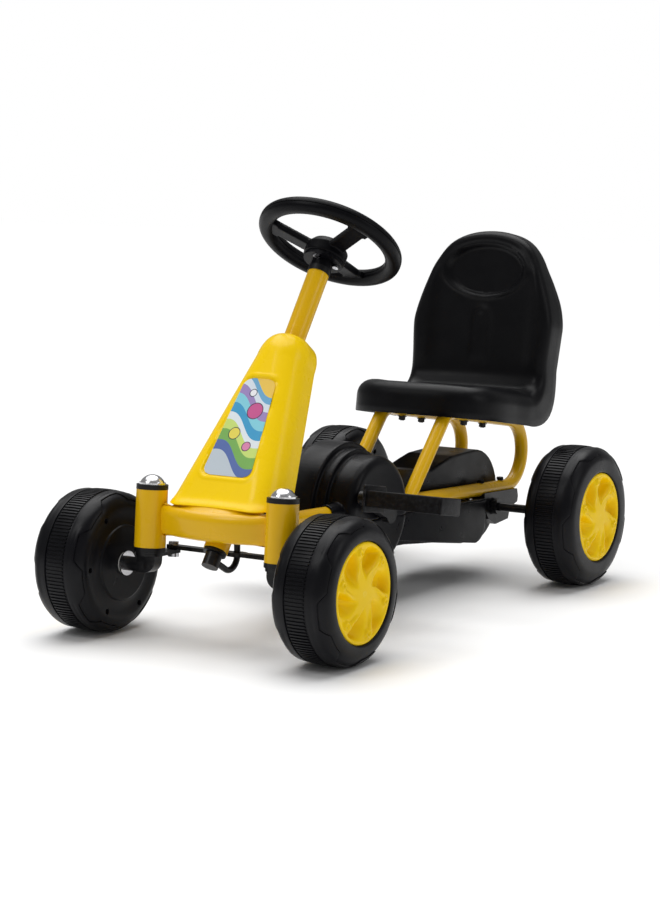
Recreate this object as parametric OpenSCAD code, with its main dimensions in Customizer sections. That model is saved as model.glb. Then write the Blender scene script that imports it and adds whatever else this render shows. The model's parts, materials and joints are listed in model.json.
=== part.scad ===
// Pedal go kart for a small child: yellow tube frame, plastic wheels, chain drive to the rear axle.
// +X is the driver's left, the kart faces -Y, +Z is up and the ground is Z = 0.
// Inside kart() the Y values are counted back from the front axle, which stands at Y = 0 there.

/* [Overall] */
// Distance between the front and the rear axle
wheelbase = 603.6; // [600:0.2:607]
// Half the distance between the middles of the front wheels
front_half_track = 176.4; // [174:0.2:180]
// Half the distance between the middles of the rear wheels
rear_half_track = 191.5; // [189:0.5:195]

/* [Wheels] */
// Radius of the front wheels
front_wheel_r = 90; // [88:0.5:91]
// Width of the front wheels
front_wheel_w = 83; // [80:0.5:85]
// Radius of the rear wheels
rear_wheel_r = 97.3; // [95:0.1:99]
// Width of the rear wheels
rear_wheel_w = 78; // [76:0.5:80]
// Radius of the yellow hubcaps
hubcap_r = 61.5; // [58:0.5:62]
// Wall thickness of the blown plastic wheels
wheel_wall = 4; // [3:0.5:5]
// Radius of the stub axles and of the rear axle
axle_r = 6; // [6:0.5:6]

/* [Steering] */
// Distance of each kingpin from the middle plane
kingpin_x = 97.4; // [96:0.2:99]
// Backward lean of the kingpins, in degrees
caster = 4.7; // [3:0.1:6]
// Backward lean of the steering column, in degrees from vertical
column_lean = 35.33; // [35:0.01:36]
// Y of the lower end of the steering shaft
column_foot_y = -7.4; // [-8:0.1:-7]
// Height of the lower end of the steering shaft
column_foot_z = 100; // [99:0.5:102]
// Length from the shaft's lower end to the top of the outer tube
column_length = 421.9; // [418:0.1:425]
// Length from the shaft's lower end to the middle of the steering wheel
steering_wheel_at = 470.9; // [468:0.1:474]
// Radius of the middle line of the steering wheel's rim
rim_ring_r = 86; // [82:0.5:88]
// Radius of the rim's own section
rim_r = 11; // [9:0.5:12]
// Length of each steering arm, from the kingpin to the tie rod's pivot
steering_arm = 50.5; // [50:0.5:51]

/* [Frame tubes] */
// Distance of each rail from the middle plane
rail_x = 50; // [49:0.5:51]
// Outer radius of the rail tubes
rail_r = 9.5; // [9:0.25:9.5]
// Wall thickness of the tubes
tube_wall = 1.5; // [1:0.25:2]
// Downward slope of the low rails towards the rear, in degrees
rail_slope = 3.08; // [2.9:0.02:3.2]
// Radius of the rear bend that carries the seat rails
hoop_r = 48; // [47:0.5:49]
// Y of the middle of the rear bend
hoop_y = 663; // [661:0.5:665]
// Height of the middle of the rear bend
hoop_z = 166; // [165:0.5:167]
// Slope of the front posts, in degrees from level
post_slope = 46.5; // [46:0.1:47]

/* [Seat] */
// Backward tilt of the whole seat, in degrees
seat_tilt = 9.4; // [9:0.1:9.8]
// Half the width of the seat pan
seat_half_w = 114; // [112:0.5:116]
// Half the width of the backrest at its widest
back_half_w = 113; // [111:0.5:115]
// Height of the backrest's top above the seat rails' middle line
back_top = 272; // [268:0.5:276]
// Thickness of the moulded seat shell
seat_wall = 4; // [3:0.5:5]

/* [Drive] */
// Chain pitch
chain_pitch = 12.7; // [12.7:0.1:12.7]
// Number of links in the chain
chain_links = 72; // [72:2:72]
// Teeth on the crank's sprocket
crank_teeth = 24; // [24:4:24]
// Teeth on the rear axle's sprocket
axle_teeth = 16; // [16:4:16]
// Height of the crank's axis
crank_z = 135.1; // [134:0.1:136]
// Distance from the crank's axis to each pedal spindle
crank_arm_l = 67; // [64:0.5:70]
// Angle of the left crank arm above level, pointing forward, in degrees
crank_angle = 24.5; // [20:0.5:30]

/* [Hidden] */
$fn = 64;

yellow = "gold";
black = "#26272a";
steel = "silver";

running = 0.05;      // radial clearance of every shaft that turns in a bush
side_gap = 0.3;      // gap between faces that turn past each other
tiny = 0.01;
far = 400;           // larger than any single piece, for cutting shapes

// Where the kart stands: the middle of its length is moved to the origin
seat_y = hoop_y + hoop_r * sin(seat_tilt);
seat_z = hoop_z + hoop_r * cos(seat_tilt);
back_depth = 24;     // how far the backrest's middle stands behind the seat rails' end
rear_end = seat_y + back_depth * cos(seat_tilt) + back_top * sin(seat_tilt);
middle_y = (rear_end - front_wheel_r) / 2;

module kart() translate([0, -middle_y, 0]) children();
module on_side(side) {
    if (side > 0) children();
    else mirror([1, 0, 0]) children();
}
// Cylinder along X from x0 to x1
module xcyl(x0, x1, r) translate([x0, 0, 0]) rotate([0, 90, 0]) cylinder(h = x1 - x0, r = r);
// Ring along X
module xring(x0, x1, r, bore) difference() {
    xcyl(x0, x1, r);
    xcyl(x0 - 1, x1 + 1, bore);
}
module ring(h, r, bore) difference() {
    cylinder(h = h, r = r);
    translate([0, 0, -1]) cylinder(h = h + 2, r = bore);
}
// Outline in the Y-Z plane given as [y, z] points, made solid from x0 to x1
module side_plate(x0, x1, points) {
    translate([x0, 0, 0]) rotate([90, 0, 90]) linear_extrude(height = x1 - x0) polygon(points);
}
function arc(cx, cy, r, a0, a1, step = 7.5) =
    let (n = max(1, ceil(abs(a1 - a0) / step)))
    [for (i = [0 : n]) let (a = a0 + (a1 - a0) * i / n) [cx + r * cos(a), cy + r * sin(a)]];

// ---------------------------------------------------------------- frame tubes

// Straight round bar in the Y-Z plane, between two [y, z] points
module bar(p, q, r) {
    d = q - p;
    translate([0, p[0], p[1]]) rotate([atan2(-d[0], d[1]), 0, 0]) cylinder(h = norm(d), r = r);
}
// Bent round bar in the Y-Z plane
module bend(c, bend_r, a0, a1, r) {
    translate([0, c[0], c[1]]) rotate([90, 0, 90]) rotate([0, 0, a0])
        rotate_extrude(angle = a1 - a0) translate([bend_r, 0]) circle(r = r);
}
function heading(a) = [cos(a), sin(a)];
// Straight runs are this much thicker than bends and reach this far into them, so that they join
run_grow = 0.02;
run_lap = 0.5;
module tube_run(p, q, r) {
    lap = run_lap * (q - p) / norm(q - p);
    bar(p - lap, q + lap, r + run_grow);
}

beam_rear_y = 12;
post_bend_r = 35;
post_bend_y = 488;
low_end = [hoop_y, hoop_z] + hoop_r * heading(-90 - rail_slope);
function rail_z(y) = low_end[1] + (low_end[0] - y) * tan(rail_slope);
low_start = [beam_rear_y - 10, rail_z(beam_rear_y - 10)];
seat_end = [seat_y, seat_z];
bend_vertex = [post_bend_y, seat_z + (seat_y - post_bend_y) * tan(seat_tilt)];
post_turn = post_slope + seat_tilt;
post_tangent = post_bend_r * tan(post_turn / 2);
bend_start = bend_vertex - post_tangent * heading(180 - seat_tilt);
bend_centre = bend_start + post_bend_r * heading(270 - seat_tilt);
bend_end = bend_vertex + post_tangent * heading(180 + post_slope);
post_foot_z = 135;
post_foot = bend_end + (bend_end[1] - post_foot_z) / sin(post_slope) * heading(180 + post_slope);

// The hollow tube, from the front beam back, round the rear bend and down the front post
module frame_path() {
    difference() {
        tube_run(low_start, low_end, rail_r);
        tube_run(low_start, low_end, rail_bore);
    }
    bent_tube([hoop_y, hoop_z], hoop_r, -90 - rail_slope, 90 - seat_tilt);
    difference() {
        tube_run(seat_end, bend_start, rail_r);
        tube_run(seat_end, bend_start, rail_bore);
    }
    bent_tube(bend_centre, post_bend_r, 90 - seat_tilt, 90 + post_slope);
    difference() {
        tube_run(bend_end, post_foot, rail_r);
        tube_run(bend_end, post_foot, rail_bore);
        bar(low_start, low_end, rail_r - tube_wall / 2);
    }
}
rail_bore = rail_r - tube_wall;
module bent_tube(c, bend_r, a0, a1) {
    translate([0, c[0], c[1]]) rotate([90, 0, 90]) rotate([0, 0, a0])
        rotate_extrude(angle = a1 - a0) translate([bend_r, 0]) difference() {
            circle(r = rail_r);
            circle(r = rail_bore);
        }
}

// Places children on the seat rails' middle line: local Y runs back along it, local Z stands off it
module seat_frame() translate([0, seat_y, seat_z]) rotate([-seat_tilt, 0, 0]) children();
seat_bolt_v = [-134, -79];
seat_bolt_r = 3;
bracket_bolt_y = [588, 646];
bracket_bolt_r = 3;
housing_r = 15;

module frame_tube(side) color(yellow) kart() translate([side * rail_x, 0, 0]) difference() {
    frame_path();
    translate([-far / 2, beam_rear_y - far, 0]) cube([far, far, far]);
    translate([0, crank_y, crank_z]) xcyl(-30, 30, housing_r);
    seat_frame() for (v = seat_bolt_v) translate([0, v, -30]) cylinder(h = 60, r = seat_bolt_r + 0.2);
    for (y = bracket_bolt_y) translate([0, y, rail_z(y) - 30]) cylinder(h = 60, r = bracket_bolt_r + 0.2);
}

// Steering column: local Z runs up the shaft from its lower end, local -Y points forward
module column_frame() {
    translate([0, column_foot_y, column_foot_z]) rotate([-column_lean, 0, 0]) children();
}
column_r = 14;
column_bore = 12;
column_start = 22;
column_sleeve_r = 15.5;
column_sleeve_end = 40;
module column_outside() column_frame() {
    translate([0, 0, column_start]) cylinder(h = column_length - column_start, r = column_r);
    translate([0, 0, column_start]) cylinder(h = column_sleeve_end - column_start, r = column_sleeve_r);
}
module column_tube() color(yellow) kart() difference() {
    column_outside();
    column_frame() cylinder(h = column_length + 10, r = column_bore);
    column_frame() for (s = cowl_screw_at) translate([0, 0, s]) rotate([-90, 0, 0])
        cylinder(h = 30, r = cowl_screw_r);
}

// Kingpins: local Z runs up the kingpin from axle height, local Y points back, local X outwards
module kingpin_frame(side) {
    on_side(side) translate([kingpin_x, 0, front_wheel_r]) rotate([-caster, 0, 0]) children();
}
sleeve_r = 19.75;
sleeve_bore = 12;
sleeve_start = 24;
sleeve_end = 96.3;
module kingpin_sleeve(side) color(yellow) kart() kingpin_frame(side)
    translate([0, 0, sleeve_start]) ring(sleeve_end - sleeve_start, sleeve_r, sleeve_bore);

beam_front_r = 180;
beam_front_y = -20;
beam_bottom = 131;
beam_top = 169;
module front_beam() color(yellow) kart() difference() {
    intersection() {
        translate([0, beam_front_y + beam_front_r, beam_bottom])
            cylinder(h = beam_top - beam_bottom, r = beam_front_r, $fn = 128);
        translate([-kingpin_x, beam_front_y - 1, beam_bottom])
            cube([2 * kingpin_x, beam_rear_y - beam_front_y + 1, beam_top - beam_bottom]);
    }
    for (side = [-1, 1]) kingpin_frame(side) cylinder(h = 150, r = sleeve_r);
    column_outside();
    column_frame() cylinder(h = 120, r = column_r);
}

bush_flange_r = 20;
bush_flange_h = 6;
kingpin_r = 8;
module kingpin_bushes() color(black) kart() for (side = [-1, 1]) kingpin_frame(side) {
    kingpin_bush(sleeve_end, 1);
    kingpin_bush(sleeve_start, -1);
}
module kingpin_bush(at, up) translate([0, 0, at]) mirror([0, 0, up > 0 ? 0 : 1]) difference() {
    union() {
        cylinder(h = bush_flange_h, r = bush_flange_r);
        translate([0, 0, -16]) cylinder(h = 16 + tiny, r = sleeve_bore);
    }
    translate([0, 0, -20]) cylinder(h = 40, r = kingpin_r + running);
}

// ---------------------------------------------------------------- cowl over the column

cowl_wall = 2.5;
cowl_front = 36;      // distance of the cowl's front face from the column's axis
cowl_rear = 18;
cowl_corner = 25;
cowl_bottom_z = 170.3;
cowl_screw_at = [130, 285];
cowl_screw_r = 2;
// Slices of the cowl: distance up the column, half width, front distance, corner radius
cowl_slices = [
    [30, 87, cowl_front, cowl_corner],
    [285, 36, cowl_front, cowl_corner],
    [303, 33, cowl_front - 3, cowl_corner - 2],
    [315, 27, cowl_front - 10, 20],
    [322, 20, cowl_front - 17, 16]
];
module cowl_body(inset, rear, top_cut) hull() for (slice = cowl_slices) {
    s = slice[0] - (slice[0] > 290 ? top_cut : 0);
    for (side = [-1, 1]) {
        translate([side * (slice[1] - slice[3]), -slice[2] + slice[3], s])
            cylinder(h = 0.5, r = slice[3] - inset, $fn = 32);
        translate([side * (slice[1] - inset - 0.5) - 0.5, rear - 1, s]) cube([1, 1, 0.5]);
    }
}
module cowl() color(yellow) kart() difference() {
    union() {
        difference() {
            column_frame() cowl_body(0, cowl_rear, 0);
            column_frame() cowl_body(cowl_wall, cowl_rear + 4, cowl_wall);
        }
        column_frame() for (s = cowl_screw_at) cowl_strap(s);
    }
    translate([-far / 2, -far / 2, cowl_bottom_z - far]) cube([far, far, far]);
    column_frame() cylinder(h = 500, r = column_r + 0.15);
    column_frame() for (s = cowl_screw_at) translate([0, 0, s]) rotate([-90, 0, 0])
        cylinder(h = 30, r = cowl_screw_r + 0.2);
}
function cowl_half_w(s) = 87 - (87 - 36) * (s - 30) / 255;
module cowl_strap(s) {
    w = cowl_half_w(s + 10) - 1;
    translate([-w, column_r + 0.3, s - 10]) cube([2 * w, cowl_rear - column_r - 0.3, 20]);
}
module cowl_screws() color(steel) kart() column_frame() for (s = cowl_screw_at)
    translate([0, 0, s]) rotate([-90, 0, 0]) {
        translate([0, 0, 12.5]) cylinder(h = cowl_rear - 12.5, r = cowl_screw_r);
        translate([0, 0, cowl_rear]) cylinder(h = 2.5, r = 4);
    }
badge_t = 0.8;
module cowl_badge() color("mediumturquoise") kart() column_frame()
    translate([0, -cowl_front, 0]) rotate([90, 0, 0]) linear_extrude(height = badge_t) polygon(concat(
        arc(24, 120, 12, -90, 0, 15), arc(11, 234, 12, 0, 90, 15),
        arc(-11, 234, 12, 90, 180, 15), arc(-24, 120, 12, 180, 270, 15)));

// ---------------------------------------------------------------- steering

shaft_r = 8;
module column_bush_upper() color(black) kart() column_frame() difference() {
    union() {
        translate([0, 0, column_length - 20]) cylinder(h = 20 + tiny, r = column_bore);
        translate([0, 0, column_length]) cylinder(h = 8, r = 15);
    }
    cylinder(h = 500, r = shaft_r + running);
}
module column_bush_lower() color(black) kart() column_frame() difference() {
    union() {
        translate([0, 0, column_start - tiny]) cylinder(h = 20, r = column_bore);
        translate([0, 0, column_start - 4]) cylinder(h = 4, r = 14.5);
    }
    translate([0, 0, -10]) cylinder(h = 100, r = shaft_r + running);
}
wheel_hub_low = -26;      // the wheel's hub hangs below the plane of its rim
wheel_hub_high = -8;
shaft_top = steering_wheel_at + wheel_hub_high - 4;
module steering_shaft() color(black) kart() column_frame() {
    cylinder(h = shaft_top, r = shaft_r);
    cylinder(h = column_start - 4 - side_gap, r = 10.5);
}
rod_r = 4;
rod_bend_r = 17;
tie_z = 20.8;         // middle of the tie rod's thickness above axle height, along the kingpins
tie_t = 5;
rod_top_y = steering_arm * cos(caster) + tie_z * sin(caster);
rod_top_z = front_wheel_r - steering_arm * sin(caster) + tie_z * cos(caster);
module steering_rod() color(black) kart() difference() {
    c = [rod_top_y - rod_bend_r, rod_top_z];
    p = c + rod_bend_r * heading(240);
    union() {
        tube_run(c + [rod_bend_r, 0], c + [rod_bend_r, 16], rod_r);
        bend(c, rod_bend_r, -120, 0, rod_r);
        tube_run(p, p + 30 * heading(150), rod_r);
    }
    column_frame() cylinder(h = 100, r = 10.5);
}
hub_start = column_length + 8 + side_gap;
hub_flange_t = 5;
hub_flange_at = steering_wheel_at + wheel_hub_low - hub_flange_t;
screw_ring_r = 18;
module steering_hub() color(black) kart() column_frame() difference() {
    union() {
        translate([0, 0, hub_start]) cylinder(h = hub_flange_at - hub_start, r = 14);
        translate([0, 0, hub_flange_at]) cylinder(h = hub_flange_t, r = 26);
    }
    cylinder(h = 600, r = shaft_r);
    for (a = [30 : 120 : 270]) rotate([0, 0, a]) translate([screw_ring_r, 0, 0]) cylinder(h = 600, r = 2);
}
module steering_screws() color(steel) kart() column_frame() for (a = [30 : 120 : 270])
    rotate([0, 0, a]) translate([screw_ring_r, 0, hub_flange_at]) {
        cylinder(h = 12, r = 2);
        translate([0, 0, -2.5]) cylinder(h = 2.5, r = 4);
    }
spoke_angles = [90, 210, 330];
spoke_rise = 12;      // upward slope of the spokes from the hub to the rim, in degrees
module steering_wheel() color(black) kart() column_frame() translate([0, 0, steering_wheel_at])
    difference() {
        union() {
            rotate_extrude() translate([rim_ring_r, 0]) circle(r = rim_r);
            translate([0, 0, wheel_hub_low]) cylinder(h = wheel_hub_high - wheel_hub_low, r = 28);
            for (a = spoke_angles) rotate([0, 0, a]) translate([20, -13, wheel_hub_low + 5])
                rotate([0, -spoke_rise, 0]) cube([66, 26, 12]);
        }
        translate([0, 0, wheel_hub_low - 4]) cylinder(h = wheel_hub_high - wheel_hub_low, r = shaft_r);
        for (a = [30 : 120 : 270]) rotate([0, 0, a]) translate([screw_ring_r, 0, wheel_hub_low - 4])
            cylinder(h = 12 - hub_flange_t + 4, r = 2);
    }

// ---------------------------------------------------------------- knuckles and front wheels

wheel_out = front_half_track - kingpin_x;        // kingpin to the wheel's middle
wheel_inner_face = wheel_out - front_wheel_w / 2;
plate_top = sleeve_start - bush_flange_h - side_gap;
plate_t = 4.2;
lug_half = 8;
tie_pin_r = 4;
module steering_arm_plate(side) difference() {
    translate([0, 0, plate_top - plate_t]) linear_extrude(height = plate_t) {
        circle(r = 18);
        translate([0, steering_arm]) circle(r = 9);
        polygon([[-17, 5], [17, 5], [8.9, steering_arm], [-8.9, steering_arm]]);
    }
    translate([0, steering_arm, 0]) cylinder(h = 40, r = tie_pin_r + (side > 0 ? running : 0.35));
}
module knuckle(side) color(black) kart() kingpin_frame(side) {
    translate([0, 0, plate_top - 1]) cylinder(h = 110 - plate_top + 1, r = kingpin_r);
    steering_arm_plate(side);
    translate([0, lug_half, 0]) rotate([90, 0, 0]) linear_extrude(height = 2 * lug_half)
        polygon(concat([[14, plate_top - plate_t + tiny], [14, -8]], arc(2, 8, 16, -90, -180),
            [[-14, plate_top - plate_t + tiny]]));
    xcyl(0, wheel_inner_face - 4.5, 9);
    xcyl(0, wheel_inner_face + 72, axle_r);
}
module kingpin_nut(side) color(steel) kart() kingpin_frame(side) {
    base = sleeve_end + bush_flange_h + side_gap;
    translate([0, 0, base]) ring(2, 17, kingpin_r);
    translate([0, 0, base + 2]) difference() {
        intersection() {
            cylinder(h = 20, r = 15.5);
            translate([0, 0, -7]) sphere(r = 17);
        }
        translate([0, 0, -1]) cylinder(h = 110 - base - 2 + 1, r = kingpin_r);
    }
}

hub_r = 15;
bush_r = 10;
cap_seat = 6;         // depth of the hubcap's seat below the wheel's outer face
hub_short = 22;       // the hub tube ends this far inside the outer face
// Wheel shell as a body of revolution; r counts from the axle, a along it towards the outside
module wheel_shell(r, w, bore) {
    h = w / 2;
    sr = 18;          // radius of the shoulders
    t = wheel_wall;
    lip = hubcap_r + 0.5;
    difference() {
        rotate_extrude() polygon(concat(
            [[bore, -h], [47, -h], [49, -h + 2.5]],
            arc(r - sr, -h + 2.5 + sr, sr, -90, 0),
            arc(r - sr, h - sr, sr, 0, 90),
            [[lip, h], [lip, h - cap_seat], [lip - 5, h - cap_seat],
             [lip - 5, h - cap_seat - t], [lip + 2, h - cap_seat - t]],
            arc(r - sr, h - sr, sr - t, 80, 0),
            arc(r - sr, -h + 2.5 + sr, sr - t, 0, -90),
            [[hub_r, -h + 2.5 + t], [hub_r, h - hub_short], [bore, h - hub_short]]));
        for (a = [0 : 60 : 300]) rotate([0, 0, a]) translate([66, 0, -h])
            cylinder(h = 8, r = 3.5, center = true);
    }
}
module cap_shell(r) {
    rotate_extrude() polygon([
        [0, 0], [16, 0], [22, -3.5], [r - 9, -3.5], [r - 5, -0.5], [r, -3.2],
        [r, -cap_seat], [r - 8, -cap_seat], [r - 9, -6.2], [22, -6.2], [15, -2.8], [0, -2.8]
    ]);
}
module front_wheel_place(side) kart() on_side(side) translate([front_half_track, 0, front_wheel_r])
    rotate([0, 90, 0]) children();
module rear_wheel_place(side) kart() on_side(side) translate([rear_half_track, wheelbase, rear_wheel_r])
    rotate([0, 90, 0]) children();
module front_tyre(side) color(black) front_wheel_place(side)
    wheel_shell(front_wheel_r, front_wheel_w, bush_r);
module front_hubcap(side) color(yellow) front_wheel_place(side)
    translate([0, 0, front_wheel_w / 2]) cap_shell(hubcap_r);
module front_bushes(side) color(black) front_wheel_place(side) difference() {
    union() {
        translate([0, 0, -front_wheel_w / 2]) cylinder(h = 16, r = bush_r);
        translate([0, 0, -front_wheel_w / 2 - 2.2]) cylinder(h = 2.2 + tiny, r = 14);
        translate([0, 0, front_wheel_w / 2 - hub_short - 16]) cylinder(h = 16, r = bush_r);
        translate([0, 0, front_wheel_w / 2 - hub_short - tiny]) cylinder(h = 2.2, r = 14);
    }
    translate([0, 0, -60]) cylinder(h = 120, r = axle_r + running);
}
module front_nut(side) color(steel) kart() kingpin_frame(side) {
    outer = wheel_inner_face + front_wheel_w - hub_short + 2.2 + side_gap;
    xring(wheel_inner_face - 4.5, wheel_inner_face - 2.2 - side_gap, 15.5, axle_r);
    xring(outer, outer + 1.5, 12, axle_r);
    translate([outer + 1.5, 0, 0]) rotate([0, 90, 0]) difference() {
        cylinder(h = 6, r = 10, $fn = 6);
        translate([0, 0, -1]) cylinder(h = 8, r = axle_r);
    }
}

// ---------------------------------------------------------------- tie rod

// Stands on both kingpins: local Y back, local Z along the kingpins, on the middle plane
module tie_frame() translate([0, 0, front_wheel_r]) rotate([-caster, 0, 0])
    translate([0, steering_arm, 0]) children();
rod_slot_r = rod_r + 1.6;
module tie_rod() color(black) kart() tie_frame() difference() {
    translate([0, 0, tie_z - tie_t / 2]) linear_extrude(height = tie_t) {
        square([2 * kingpin_x, 16], center = true);
        for (side = [-1, 1]) translate([side * kingpin_x, 0]) circle(r = 9);
        circle(r = 13);
    }
    cylinder(h = 60, r = rod_slot_r);
    for (side = [-1, 1]) translate([side * kingpin_x, 0, 0]) cylinder(h = 60, r = tie_pin_r);
}
module tie_rod_bolts() color(steel) kart() tie_frame() for (side = [-1, 1])
    translate([side * kingpin_x, 0, 0]) {
        low = plate_top - plate_t - side_gap;
        top = tie_z + tie_t / 2;
        translate([0, 0, low - 5]) cylinder(h = top - low + 5, r = tie_pin_r);
        translate([0, 0, low - 5]) ring(5, 7, tie_pin_r);
        translate([0, 0, top]) cylinder(h = 4, r = 7, $fn = 6);
    }

// ---------------------------------------------------------------- drive

function pitch_r(teeth) = chain_pitch / (2 * sin(180 / teeth));
crank_pr = pitch_r(crank_teeth);
axle_pr = pitch_r(axle_teeth);
// Chain length fixes the distance between the two sprockets
tooth_step = (crank_teeth - axle_teeth) / 360 * 180 / PI;
centre_pitches = (chain_links - (crank_teeth + axle_teeth) / 2) / 2;
centre_d = chain_pitch * (centre_pitches - tooth_step * tooth_step / (2 * centre_pitches));
crank_rise = crank_z - rear_wheel_r;
crank_y = wheelbase - sqrt(centre_d * centre_d - crank_rise * crank_rise);

line_angle = atan2(crank_rise, crank_y - wheelbase);      // from the axle to the crank
tangent_a = acos((axle_pr - crank_pr) / centre_d);
top_normal = line_angle - tangent_a;
low_normal = line_angle + tangent_a - 360;
run_pitches = sqrt(pow(centre_d, 2) - pow(crank_pr - axle_pr, 2)) / chain_pitch;
axle_wrap = (top_normal - low_normal) * axle_teeth / 360;
crank_wrap = (360 - top_normal + low_normal) * crank_teeth / 360;
chain_scale = (axle_wrap + 2 * run_pitches + crank_wrap) / chain_links;
axle_c = [wheelbase, rear_wheel_r];
crank_c = [crank_y, crank_z];
// Place of a roller that is s pitches along the chain
function chain_at(s) =
    s < axle_wrap ? axle_c + axle_pr * heading(top_normal - s * 360 / axle_teeth)
    : s < axle_wrap + run_pitches ?
        let (k = (s - axle_wrap) / run_pitches)
        (1 - k) * (axle_c + axle_pr * heading(low_normal)) + k * (crank_c + crank_pr * heading(low_normal))
    : s < axle_wrap + run_pitches + crank_wrap ?
        crank_c + crank_pr * heading(low_normal - (s - axle_wrap - run_pitches) * 360 / crank_teeth)
    : let (k = (s - axle_wrap - run_pitches - crank_wrap) / run_pitches)
        (1 - k) * (crank_c + crank_pr * heading(top_normal)) + k * (axle_c + axle_pr * heading(top_normal));
roller_r = 3.9;
tooth_h = 3.2;
pin_half = 5.6;
link_plate_t = 1.2;
link_plate_half_h = 3.4;
inner_plate_x = 3.2;
outer_plate_x = 4.2;
// The chain stands still, so its rollers are left open in the middle where the teeth turn
tooth_clear = 0.4;
module chain() color("dimgray") kart() difference() {
    chain_loop();
    for (c = [[crank_c, crank_pr], [axle_c, axle_pr]]) translate([0, c[0][0], c[0][1]])
        xcyl(-1.5 - tooth_clear, 1.5 + tooth_clear, c[1] + tooth_h + tooth_clear);
}
module chain_loop() for (i = [0 : chain_links - 1]) {
    p = chain_at(i * chain_scale);
    q = chain_at((i + 1 < chain_links ? i + 1 : 0) * chain_scale);
    d = q - p;
    translate([0, p[0], p[1]]) {
        xcyl(-pin_half, pin_half, roller_r, $fn = 24);
        rotate([atan2(d[1], d[0]), 0, 0]) for (side = [-1, 1]) on_side(side)
            translate([i % 2 == 0 ? inner_plate_x : outer_plate_x, 0, -link_plate_half_h])
                cube([link_plate_t, norm(d), 2 * link_plate_half_h]);
    }
}
tooth_mouth_r = 5.2;
// Sprocket standing on the X axis, with a tooth gap at angle phase
module sprocket(teeth, phase, bore, hub) difference() {
    pr = pitch_r(teeth);
    union() {
        xcyl(-1.5, 1.5, pr + tooth_h);
        xcyl(-9, 9, hub);
    }
    for (i = [0 : teeth - 1]) rotate([phase + i * 360 / teeth, 0, 0]) {
        translate([0, pr, 0]) xcyl(-2, 2, roller_r + 0.35, $fn = 24);
        translate([0, pr + tooth_h, 0]) xcyl(-2, 2, tooth_mouth_r, $fn = 24);
    }
    xcyl(-20, 20, bore);
}
first_on_crank = ceil((axle_wrap + run_pitches) / chain_scale) * chain_scale;
crank_phase = low_normal - (first_on_crank - axle_wrap - run_pitches) * 360 / crank_teeth;
crank_shaft_r = 7;
module axle_sprocket() color("dimgray") kart() translate([0, wheelbase, rear_wheel_r])
    sprocket(axle_teeth, top_normal, axle_r, 12);
module crank_sprocket() color("dimgray") kart() translate([0, crank_y, crank_z])
    sprocket(crank_teeth, crank_phase, crank_shaft_r, 14);

arm_in = 80;
arm_t = 10;
module crank_shaft() color(steel) kart() translate([0, crank_y, crank_z])
    xcyl(-arm_in - arm_t, arm_in + arm_t, crank_shaft_r);
spindle_end = 200;
spindle_r = 5;
// Crank arms point opposite ways; each has its pedal spindle fixed in it
module crank_arm_at(side) kart() translate([0, crank_y, crank_z])
    rotate([side > 0 ? 180 - crank_angle : -crank_angle, 0, 0]) on_side(side) children();
module crank_arm(side) color(black) crank_arm_at(side) difference() {
    union() {
        xcyl(arm_in, arm_in + arm_t, 13);
        translate([arm_in, 0, -9]) cube([arm_t, crank_arm_l, 18]);
        translate([0, crank_arm_l, 0]) xcyl(arm_in, arm_in + arm_t, 9);
        translate([0, crank_arm_l, 0]) xcyl(arm_in, spindle_end, spindle_r);
    }
    xcyl(arm_in - 1, arm_in + arm_t + 1, crank_shaft_r);
}
housing_half = 12;
housing_bore = 10;
module crank_housing(side) color(yellow) kart() translate([side * rail_x, crank_y, crank_z])
    xring(-housing_half, housing_half, housing_r, housing_bore);
module crank_bushes() color("white") kart() for (side = [-1, 1])
    translate([side * rail_x, crank_y, crank_z])
        xring(-housing_half, housing_half, housing_bore, crank_shaft_r + running);

// ---------------------------------------------------------------- pedals

pedal_in = 97;
pedal_out = 212;
function spindle_y(side) = crank_y - side * crank_arm_l * cos(crank_angle);
function spindle_z(side) = crank_z + side * crank_arm_l * sin(crank_angle);
pedal_t = 22;
pedal_pitch = 10;     // the pedals stand with their front edge raised, in degrees
module pedal(side) color(black) kart() translate([0, spindle_y(side), spindle_z(side)]) on_side(side)
    rotate([-pedal_pitch, 0, 0]) difference() {
        union() {
            side_plate(pedal_in, pedal_in + 5, concat(
                arc(21, 12, 6, 0, 90, 15), arc(-21, 12, 6, 90, 180, 15),
                arc(-21, -12, 6, 180, 270, 15), arc(21, -12, 6, 270, 360, 15)));
            side_plate(pedal_in + 5 - tiny, pedal_out, concat(
                arc(21, 7, 4, 0, 90, 15), arc(-21, 7, 4, 90, 180, 15),
                arc(-21, -7, 4, 180, 270, 15), arc(21, -7, 4, 270, 360, 15)));
        }
        xcyl(pedal_in - 1, spindle_end + side_gap, spindle_r + running);
        for (x = [110 : 12 : 194]) translate([x, -30, pedal_t / 2 - 2]) cube([4, 60, 5]);
        for (x = [110 : 12 : 194]) translate([x, -30, -pedal_t / 2 - 3]) cube([4, 60, 5]);
    }

// ---------------------------------------------------------------- rear axle

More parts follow.
